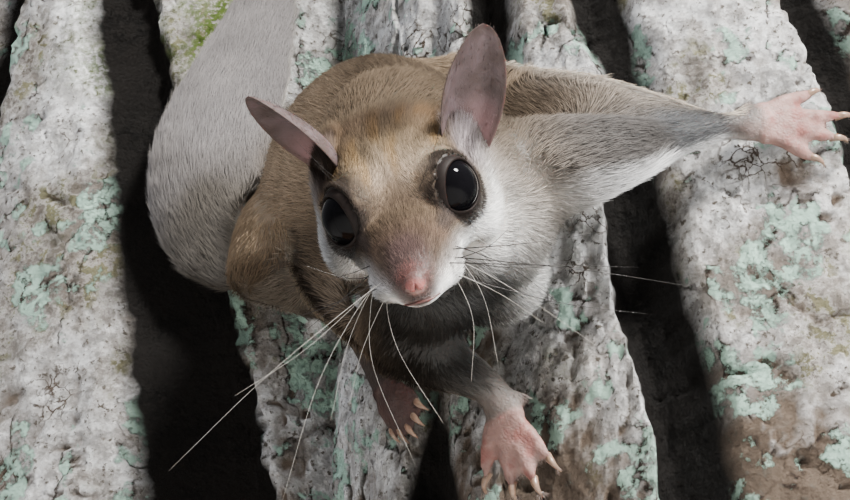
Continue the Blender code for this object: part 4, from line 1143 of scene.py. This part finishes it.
# Tips of the whiskers: forward, left and up from the middle of the head, and the kind of hair
WHISKER_TIPS = {
    "left": ((13, 28, -11, "dark"), (16, 37, -16, "dark"), (10, 24, -6, "dark"), (15, 17, -12, "dark"),
             (16, 14, -13, "pale"), (7, 15, -2, "dark"), (19, 20, -17, "pale"), (19, 7, -15, "pale"),
             (17, 28, -16, "dark"), (20, 3, -16, "pale"), (12, 21, -8, "dark"), (13, 14, -9, "dark")),
    "right": ((23, -38, -14, "pale"), (27, -25, -21, "pale"), (26, -7, -22, "pale"), (10, -12, -1, "dark"),
             (12, -16, -3, "dark"), (13, -23, -3, "dark"), (21, -16, -15, "pale"), (15, -19, -6, "dark"),
             (20, -13, -14, "pale"), (23, -2, -19, "pale"), (18, -27, -9, "pale"), (8, -14, 1, "dark"))}

WHISKER_ROOT = {"pale": 0.034, "dark": 0.09}


class SQUIRREL_OT_whiskers(bpy.types.Operator):
    """Long curved whiskers on the muzzle and a few over the eyes"""
    bl_idname = "squirrel.whiskers"
    bl_label = "Whiskers"

    def execute(self, context):
        # Whiskers: stiff smooth bristles of horn with a narrow gloss, some white and some dark
        kinds = {name: (grained_material(name + " whisker", 0.004, {}, ((0, low), (1, high)), Roughness=0.35), [])
                 for name, low, high in (("pale", "#97928B", "#C4C0B9"), ("dark", "#0C0908", "#1C1614"))}
        draw = random.Random(5)
        for side in SIDES:
            sign = SIGN[side]
            for k, (forward, left, up, kind) in enumerate(WHISKER_TIPS[side]):
                line, row = k % 4, k // 4
                root = head_point(12.2 - 1.2 * line, sign * (4.1 + 0.4 * line), -1.9 - 1.0 * row)
                reach = head_point(forward, left, up) - root
                out = head_way(0.5, sign * 0.8, 0.1 - 0.25 * row)
                length = np.linalg.norm(reach)
                bow = reach * 0.45 + out * length * draw.uniform(0.08, 0.16)
                path = smooth_path([root - out * 0.9, root + bow * 0.35 + out * length * 0.03,
                                    root + bow, root + reach], 22)
                radii = np.linspace(WHISKER_ROOT[kind], 0.014, 22)
                kinds[kind][1].append(tube(path, radii, 5))
            for k in range(2):
                root = head_point(3.2 - 1.3 * k, sign * (3.6 + 0.5 * k), 4.4)
                way = head_way(0.1 - 0.2 * k, sign * 0.55, 0.8)
                length = 9 + 2 * k
                tip = root + way * length - HEAD_FORWARD * 2.5
                path = smooth_path([root - way, root + way * length * 0.5, tip], 12)
                kinds["dark"][1].append(tube(path, np.linspace(0.035, 0.012, 12), 5))
        for name, (hair, made) in kinds.items():
            placed("whiskers_" + name, array_mesh("whiskers", *gathered(made)), hair)
        return {"FINISHED"}


# Deep furrows seen from the front: rows of height, angle in degrees, half width and depth, as in the solids
FRONT_FURROWS = (
    ((84, 219, 7, 8), (165, 216.5, 7, 9), (200, 213, 6.5, 9), (235, 210, 6, 8), (288, 204, 5, 6)),
    ((84, 260, 6, 6), (150, 258.5, 7, 9), (160, 257.5, 6, 8), (170, 258, 4, 4), (180, 258.5, 3, 2),
     (288, 259, 3, 2)),
    ((84, 273, 4, 1.2), (222, 269, 4, 1.5), (236, 267.5, 5, 6), (288, 266, 5, 7)),
    ((84, 289, 5, 6), (157, 286, 6, 9), (185, 283, 5.5, 9), (200, 282.4, 5, 7), (220, 282, 5, 4),
     (232, 280, 5, 6), (288, 277, 6, 7)),
    ((84, 304, 4, 4), (190, 302, 4, 3), (219, 300, 5, 6), (235, 297, 5, 6), (288, 294, 5, 5)))
OTHER_FURROWS = 21
OTHER_FROM, OTHER_TO = 315.0, 553.0
TRUNK_LEVELS = 252
CAP_RINGS = 14


def furrow_rows():
    """Every furrow as rows of height, angle in degrees, half width and depth, in order round the trunk."""
    draw = random.Random(11)
    furrows = list(FRONT_FURROWS)
    step = (OTHER_TO - OTHER_FROM) / (OTHER_FURROWS - 1)
    for k in range(OTHER_FURROWS):
        middle = OTHER_FROM + step * k + draw.uniform(-1.5, 1.5)
        half, depth, wave = draw.uniform(3.6, 5.2), draw.uniform(3.5, 6.5), draw.uniform(0, 6.28)
        furrows.append([(z, middle + 1.6 * math.sin(z / 38 + wave), half,
                         depth * (0.75 + 0.35 * math.sin(z / 29 + wave)))
                        for z in np.linspace(TRUNK_BOTTOM, TRUNK_TOP, 12)])
    return [np.array(rows, float).T for rows in furrows]


def trunk_reach(degrees):
    """Distance from the trunk's middle to its unfurrowed bark at these angles."""
    turn = np.radians(degrees)
    best = np.zeros(len(turn))
    for cx, cy, radius in STEMS:
        wx, wy = TRUNK_MIDDLE[0] - cx, TRUNK_MIDDLE[1] - cy
        along = wx * np.cos(turn) + wy * np.sin(turn)
        inside = np.maximum(0.0, along ** 2 - wx ** 2 - wy ** 2 + radius ** 2)
        best = np.maximum(best, np.sqrt(inside) - along)
    return best


def bark_sink(degrees, z, run, deepen):
    """How far the bark sinks at angles and heights: deep furrows, then flaking plates, grain and cracks."""
    grid = np.stack([run, z, np.zeros(len(z))], axis=1)

    def noise(across, up, seed, layers=4):
        """Noise whose blotches are this many millimetres wide and high."""
        return layered_noise(grid / (across, up, 1), seed, layers)

    edge = 2.6 * (noise(3.2, 6, 31, 3) - 0.5) + 1.6 * (noise(9, 17, 32, 2) - 0.5)
    reach = trunk_reach(degrees)
    deep = np.zeros(len(z))
    for rows in furrow_rows():
        middle, half, depth = (np.interp(z, rows[0], column) for column in rows[1:])
        away = np.abs((degrees - middle + 180) % 360 - 180) * np.pi / 180 * reach + edge * 0.6
        deep = np.maximum(deep, deepen * depth * (1 - np.clip(away / half, 0, 1) ** 1.6))
    plate = noise(13, 22, 41, 3) * 9
    flake = np.floor(plate) + ramp(0.25, 0.6, plate - np.floor(plate))
    fine = 0.34 * (6.4 - flake) + 1.9 * (noise(4.5, 6, 43) - 0.42) + 2.6 * np.abs(noise(2.0, 3.4, 45, 3) - 0.5)
    level = (z + 28 * (noise(10, 26, 37) - 0.5)) / 15.0
    upright = (run + 16 * (noise(15, 22, 47) - 0.5)) / 8.5
    for lines, apart, wide, depth, where in ((level, 15.0, 0.5, 1.3, ramp(0.50, 0.62, noise(7, 12, 39, 3))),
                                             (upright, 8.5, 0.45, 1.2, ramp(0.52, 0.64, noise(11, 24, 49, 3)))):
        gap = np.abs(lines - np.round(lines)) * apart
        fine += depth * where * np.exp(-(gap / wide) ** 2)
    return deep, np.maximum(fine, -0.2)


def trunk_cap(rim, first, start, z):
    """Rings from a sawn end's rim to its middle: their points, and faces for a rim that starts at first."""
    around = len(rim)
    shares = 1 - np.arange(1, CAP_RINGS + 1) / (CAP_RINGS + 0.2)
    inner = np.array(TRUNK_MIDDLE) + (rim - TRUNK_MIDDLE)[None] * shares[:, None, None]
    points = np.vstack([inner.reshape(-1, 2), [TRUNK_MIDDLE]])
    ids = np.vstack([first + np.arange(around), start + np.arange(CAP_RINGS * around).reshape(CAP_RINGS, around)])
    beside = np.roll(ids, -1, axis=1)
    quads = np.stack([ids[:-1], beside[:-1], beside[1:], ids[1:]], axis=2).reshape(-1, 4)
    middle = start + CAP_RINGS * around
    fan = [(b, a, middle) for a, b in zip(ids[-1].tolist(), beside[-1].tolist())]
    return np.column_stack([points, np.full(len(points), z)]), quads.tolist() + fan


class SQUIRREL_OT_trunk(bpy.types.Operator):
    """Cut length of trunk with furrowed bark, lichen, moss and sawn ends"""
    bl_idname = "squirrel.trunk"
    bl_label = "Trunk"

    def execute(self, context):
        sizes = settings("squirrel_trunk")
        # Columns of points stand closest together on the side that the photograph shows
        steps, angle = [], 0.0
        while angle < 360.0:
            steps.append(angle)
            angle += 0.86 - 0.52 * math.exp(-((angle - 262.0) / 52.0) ** 2)
        angles, around, levels = np.array(steps), len(steps), TRUNK_LEVELS
        directions = np.stack([np.cos(np.radians(angles)), np.sin(np.radians(angles))], axis=1)
        edge = np.array(TRUNK_MIDDLE) + trunk_reach(angles)[:, None] * directions
        run = np.concatenate([[0], np.cumsum(np.linalg.norm(np.diff(edge, axis=0), axis=1))])
        z = np.repeat(np.linspace(TRUNK_BOTTOM, TRUNK_TOP, levels), around)
        deep, fine = bark_sink(np.tile(angles, levels), z, np.tile(run, levels), sizes.furrow)
        seam = np.tile(np.minimum(run, run[-1] - run), levels)
        end = np.minimum(z - TRUNK_BOTTOM, TRUNK_TOP - z)
        sink = deep + fine * ramp(0, 12, seam) + np.exp(-end ** 2) + 0.3
        outer = np.column_stack([np.tile(edge, (levels, 1)) - np.tile(directions, (levels, 1)) * sink[:, None], z])
        sides = grid_quads(levels, around).tolist()
        points, faces = outer, list(sides)
        for height, first in ((TRUNK_BOTTOM, 0), (TRUNK_TOP, (levels - 1) * around)):
            more, ends = trunk_cap(outer[first:first + around, :2], first, len(points), height)
            points, faces = np.vstack([points, more]), faces + ends
        mesh = bpy.data.meshes.new("bark")
        mesh.from_pydata((points * MM).tolist(), [], faces)
        mesh.update()
        x = outer[:, 0]
        damp = ramp(0.45, 0.62, layered_noise(outer / (14, 14, 24), 61, 4))
        moss = damp * ramp(205, 235, z) * ramp(-30, -48, x) * ramp(-90, -72, x) + 0.5 * damp * ramp(0.5, 0.7, deep / 9)
        # The brown of wear follows the flaking plates; the bark is also made browner low down as painted shade, and
        # paler high up, as in the photograph
        wear_and_shade = fine - 1.5 * ramp(222, 262, z) + 1.4 * ramp(172, 150, z)
        for name, values in (("bark_depth", deep), ("bark_moss", moss), ("bark_wear_and_shade", wear_and_shade)):
            row = np.zeros(len(points), np.float32)
            row[:len(values)] = values
            mesh.attributes.new(name, "FLOAT", "POINT").data.foreach_set("value", row)
        placed("bark_trunk", mesh, bark_material(sizes), ["perch_trunk"])
        mesh.materials.append(cut_wood_material())
        kinds = np.zeros(len(mesh.polygons), np.int32)
        kinds[len(sides):] = 1
        mesh.polygons.foreach_set("material_index", kinds)
        work = bmesh.new()
        work.from_mesh(mesh)
        bmesh.ops.recalc_face_normals(work, faces=work.faces[:])
        work.to_mesh(mesh)
        work.free()
        mesh.shade_smooth()
        mesh.set_sharp_from_angle(angle=math.radians(60))
        return {"FINISHED"}


def bark_material(sizes):
    """Bark of an old tree: dry flaking cork, weathered pale grey and brown in fresh breaks, with painted shade that
    turns the furrows black and the bark browner low down; crusts of lichen and some moss; rough all over, so without
    gloss."""
    material, tree, surface = new_material("furrowed bark", Roughness=0.92, Specular_IOR_Level=0.2)
    spot = node(tree, "ShaderNodeTexCoord").outputs["Object"]
    depth, grain, moss = (node(tree, "ShaderNodeAttribute", {"attribute_name": name}).outputs["Fac"]
                          for name in ("bark_depth", "bark_wear_and_shade", "bark_moss"))
    noises = {name: node(tree, "ShaderNodeTexNoise", {"Scale": 1 / wide, "Detail": 7.0, "Roughness": rough},
                         Vector=spot)
              for name, wide, rough in (("patch", 0.022, 0.55), ("crust", 0.012, 0.62), ("speck", 0.0030, 0.70),
                                        ("dot", 0.0011, 0.65), ("fold", 0.0060, 0.5))}
    fac = {name: made.outputs["Fac"] for name, made in noises.items()}
    bent = node(tree, "ShaderNodeVectorMath", {"operation": "MULTIPLY_ADD", 1: (0.009, 0.009, 0.009)},
                _0=noises["fold"].outputs["Color"], _2=spot).outputs["Vector"]
    long_bent = node(tree, "ShaderNodeMapping", {"Scale": (1.0, 1.0, 0.55)}, Vector=bent).outputs["Vector"]
    flakes = node(tree, "ShaderNodeTexVoronoi", {"Scale": 1 / 0.0052}, Vector=long_bent).outputs["Color"]
    cracks, checks = (node(tree, "ShaderNodeTexVoronoi", {"feature": "DISTANCE_TO_EDGE", "Scale": 1 / wide},
                           Vector=place).outputs["Distance"]
                      for wide, place in ((0.0095, long_bent), (0.0031, bent)))
    mask = {name: node(tree, "ShaderNodeMapRange", {"From Min": low, "From Max": high},
                       Value=value).outputs["Result"]
            for name, value, low, high in (
                ("crack", cracks, 0.045, 0.01), ("some", fac["crust"], 0.47, 0.53),
                ("check", checks, 0.07, 0.02), ("few", fac["patch"], 0.57, 0.63),
                ("olive", fac["patch"], 0.47, 0.41), ("spotty", fac["speck"], 0.50, 0.55),
                ("dots", fac["dot"], 0.57, 0.64), ("lichen", fac["crust"], 0.535, 0.565),
                ("grainy", fac["speck"], 0.455, 0.515), ("wear_and_shade", grain, 1.2, 2.4),
                ("mossy", fac["dot"], 0.44, 0.50), ("deep", depth, 0.9, 3.6))}
    both = {name: node(tree, "ShaderNodeMath", {"operation": "MULTIPLY"}, _0=mask[a], _1=other).outputs["Value"]
            for name, a, other in (("cracked", "crack", mask["some"]), ("checked", "check", mask["few"]),
                                   ("stained", "olive", mask["spotty"]), ("crusted", "lichen", mask["grainy"]),
                                   ("greened", "mossy", moss))}
    patches = shades(tree, fac["patch"], (0.38, "#8D857C"), (0.46, "#B9B4AF"), (0.53, "#D3D2D2"),
                     (0.62, "#EFEEEC"))
    specks = shades(tree, fac["speck"], (0.42, "#5D554E"), (0.48, "#ABA6A1"), (0.53, "#DAD9D9"),
                    (0.59, "#F4F3F2"))
    colour = node(tree, "ShaderNodeMix", {"data_type": "RGBA", 0: 0.5}, _6=patches, _7=specks).outputs[2]
    tone = node(tree, "ShaderNodeMapRange", {"To Min": 0.72, "To Max": 1.14}, Value=flakes).outputs["Result"]
    colour = node(tree, "ShaderNodeMix", {"data_type": "RGBA", "blend_type": "MULTIPLY", 0: 1.0}, _6=colour,
                  _7=tone).outputs[2]
    # Painted shade: the deep furrows turn near black, and the brown of wear is deepened low down
    for share, laid in ((both["stained"], linear("#77735A")), (mask["wear_and_shade"], linear("#63564B")),
                        (both["cracked"], linear("#2B211B")), (both["checked"], linear("#4A3D33")),
                        (mask["dots"], linear("#5F5850")), (both["crusted"], sizes.lichen),
                        (both["greened"], linear("#56692C")), (mask["deep"], linear("#110E0C"))):
        colour = node(tree, "ShaderNodeMix", {"data_type": "RGBA", 7: (*laid, 1)}, _0=share,
                      _6=colour).outputs[2]
    tree.links.new(colour, surface.inputs["Base Color"])
    relief(tree, surface, (flakes, 0.0006, 0.8), (cracks, 0.0020, 0.35), (fac["speck"], 0.0060, 1.0),
           (both["crusted"], 0.0004, 0.8), (fac["dot"], 0.0030, 1.0))
    return material


def cut_wood_material():
    """Sawn end grain: cut across its rings, open pored and dry, so matt and brown."""
    material, tree, surface = new_material("sawn end grain", Roughness=0.8)
    place = node(tree, "ShaderNodeTexCoord").outputs["Object"]
    stem = node(tree, "ShaderNodeMapping", {"Location": (-STEMS[0][0] * MM, -STEMS[0][1] * MM, 0)}, Vector=place)
    rings = node(tree, "ShaderNodeTexWave", {"wave_type": "RINGS", "rings_direction": "Z", "Scale": 1 / 0.0125,
                                             "Distortion": 2.5, "Detail": 3.0, "Detail Scale": 1.5},
                 Vector=stem.outputs["Vector"]).outputs["Fac"]
    grain = pattern(tree, "ShaderNodeTexNoise", 0.0012, {"Detail": 5.0})["Fac"]
    tree.links.new(shades(tree, rings, (0.0, "#A98A63"), (0.55, "#C3A67E"), (1.0, "#8A6A48")),
                   surface.inputs["Base Color"])
    relief(tree, surface, (rings, 0.0002, 0.5), (grain, 0.0003, 0.5))
    return material


class SQUIRREL_OT_stand(bpy.types.Operator):
    """Oiled oak base plate and two brushed steel rods"""
    bl_idname = "squirrel.stand"
    bl_label = "Stand"

    def execute(self, context):
        # Oiled oak: planed and wiped with oil, so long dark pores under a soft gloss
        oak = grained_material("oiled oak", 0.0028, {"Detail": 7.0, "Roughness": 0.65, "Distortion": 0.4},
                               ((0.30, "#5E3F24"), (0.48, "#8A6238"), (0.62, "#A87C4C"), (0.75, "#B98D5C")),
                               (0.0002, 0.4), (0.08, 1.0, 1.0), Roughness=0.42)
        # Brushed steel: turned against an abrasive, so fine lines round each rod and a blurred gloss
        steel = grained_material("brushed steel", 0.0004, {"Detail": 4.0}, ((0.3, "#9A9A9C"), (0.7, "#BDBDC0")),
                                 (0.00005, 0.4), (0.1, 0.1, 1.0), Metallic=1.0, Roughness=0.32)
        for name, material in (("stand_base", oak), ("stand_rod_left", steel), ("stand_rod_right", steel)):
            data = frame["nodes"][name].data
            for k in range(len(data.materials)):
                data.materials[k] = material
        return {"FINISHED"}


FLOOR_HALF = 3000
LIT_SPOT = (-0.015, -0.09, 0.185)
CAMERA_AT = (-0.0188, -0.3493, 0.0431)
CAMERA_RISE = 28


def aimed(thing, place, target):
    thing.location = place
    thing.rotation_mode = "QUATERNION"
    thing.rotation_quaternion = (Vector(target) - Vector(place)).to_track_quat("-Z", "Y")


class SQUIRREL_OT_studio(bpy.types.Operator):
    """Pale floor, soft lights and the camera at the photograph's angle"""
    bl_idname = "squirrel.studio"
    bl_label = "Studio"

    def execute(self, context):
        sizes = settings("squirrel_studio")
        scene = context.scene
        corners = [(x * FLOOR_HALF, y * FLOOR_HALF, 0) for x, y in ((-1, -1), (1, -1), (1, 1), (-1, 1))]
        floor = bpy.data.objects.new("floor", array_mesh("floor", corners, [(0, 1, 2, 3)]))
        scene.collection.objects.link(floor)
        # Studio floor: a flat coat of matt emulsion, pale and even, that shows only the shadow
        paint, _, _ = new_material("pale matt floor", Base_Color=(*linear("#DEDCD8"), 1), Roughness=0.9)
        floor.data.materials.append(paint)
        world = bpy.data.worlds.new("soft studio")
        world.use_nodes = True
        sky = world.node_tree.nodes["Background"].inputs
        sky["Color"].default_value = (*linear("#E2E6EA"), 1)
        sky["Strength"].default_value = 0.36
        scene.world = world
        for name, place, size, power, tint in (
                ("key", (0.22, -0.46, 0.60), 0.12, sizes.key, "#FFFDF8"),
                ("fill", (-0.45, -0.30, 0.65), 0.30, sizes.key * 0.4, "#F3F7FF"),
                ("side", (0.50, -0.42, 0.31), 0.25, sizes.key * 0.78, "#FFFFFF")):
            lamp = bpy.data.lights.new(name, "AREA")
            lamp.size, lamp.energy, lamp.color = size, power, linear(tint)
            lamp.spread, lamp.shape = math.radians(100), "DISK"
            made = bpy.data.objects.new(name, lamp)
            made.visible_glossy = name == "key"
            scene.collection.objects.link(made)
            aimed(made, place, LIT_SPOT)
        lens = bpy.data.cameras.new("camera")
        lens.lens, lens.sensor_width = sizes.lens, 36.0
        lens.clip_start, lens.clip_end = 0.01, 20
        camera = bpy.data.objects.new("camera", lens)
        scene.collection.objects.link(camera)
        camera.location = CAMERA_AT
        camera.rotation_euler = (math.radians(90 + CAMERA_RISE), 0, 0)
        scene.camera = camera
        return {"FINISHED"}


class SQUIRREL_PT_panel(bpy.types.Panel):
    """Lists the steps that dress the squirrel"""
    bl_idname = "SQUIRREL_PT_panel"
    bl_label = "Flying squirrel"
    bl_space_type = "VIEW_3D"
    bl_region_type = "UI"
    bl_category = "Squirrel"

    def draw(self, context):
        for group in ("squirrel_skin", "squirrel_coat", "squirrel_trunk", "squirrel_studio"):
            box = self.layout.box()
            for key in settings(group).__annotations__:
                box.prop(settings(group), key)
        for step in STEPS:
            self.layout.operator(step.bl_idname)


STEPS = (SQUIRREL_OT_skin, SQUIRREL_OT_coat, SQUIRREL_OT_eyes, SQUIRREL_OT_nose_and_mouth, SQUIRREL_OT_ears,
         SQUIRREL_OT_claws, SQUIRREL_OT_whiskers, SQUIRREL_OT_trunk, SQUIRREL_OT_stand, SQUIRREL_OT_studio)
GROUPS = {"squirrel_skin": SquirrelSkinSettings, "squirrel_coat": SquirrelCoatSettings,
          "squirrel_trunk": SquirrelTrunkSettings, "squirrel_studio": SquirrelStudioSettings}


def register():
    for group in GROUPS.values():
        bpy.utils.register_class(group)
    for name, group in GROUPS.items():
        setattr(bpy.types.Scene, name, bpy.props.PointerProperty(type=group))
    for step in STEPS:
        bpy.utils.register_class(step)
    bpy.utils.register_class(SQUIRREL_PT_panel)


def unregister():
    bpy.utils.unregister_class(SQUIRREL_PT_panel)
    for step in reversed(STEPS):
        bpy.utils.unregister_class(step)
    for name, group in GROUPS.items():
        delattr(bpy.types.Scene, name)
        bpy.utils.unregister_class(group)


def main():
    register()
    for step in STEPS:
        family, name = step.bl_idname.split(".")
        getattr(getattr(bpy.ops, family), name)()


if __name__ == "__main__":
    main()
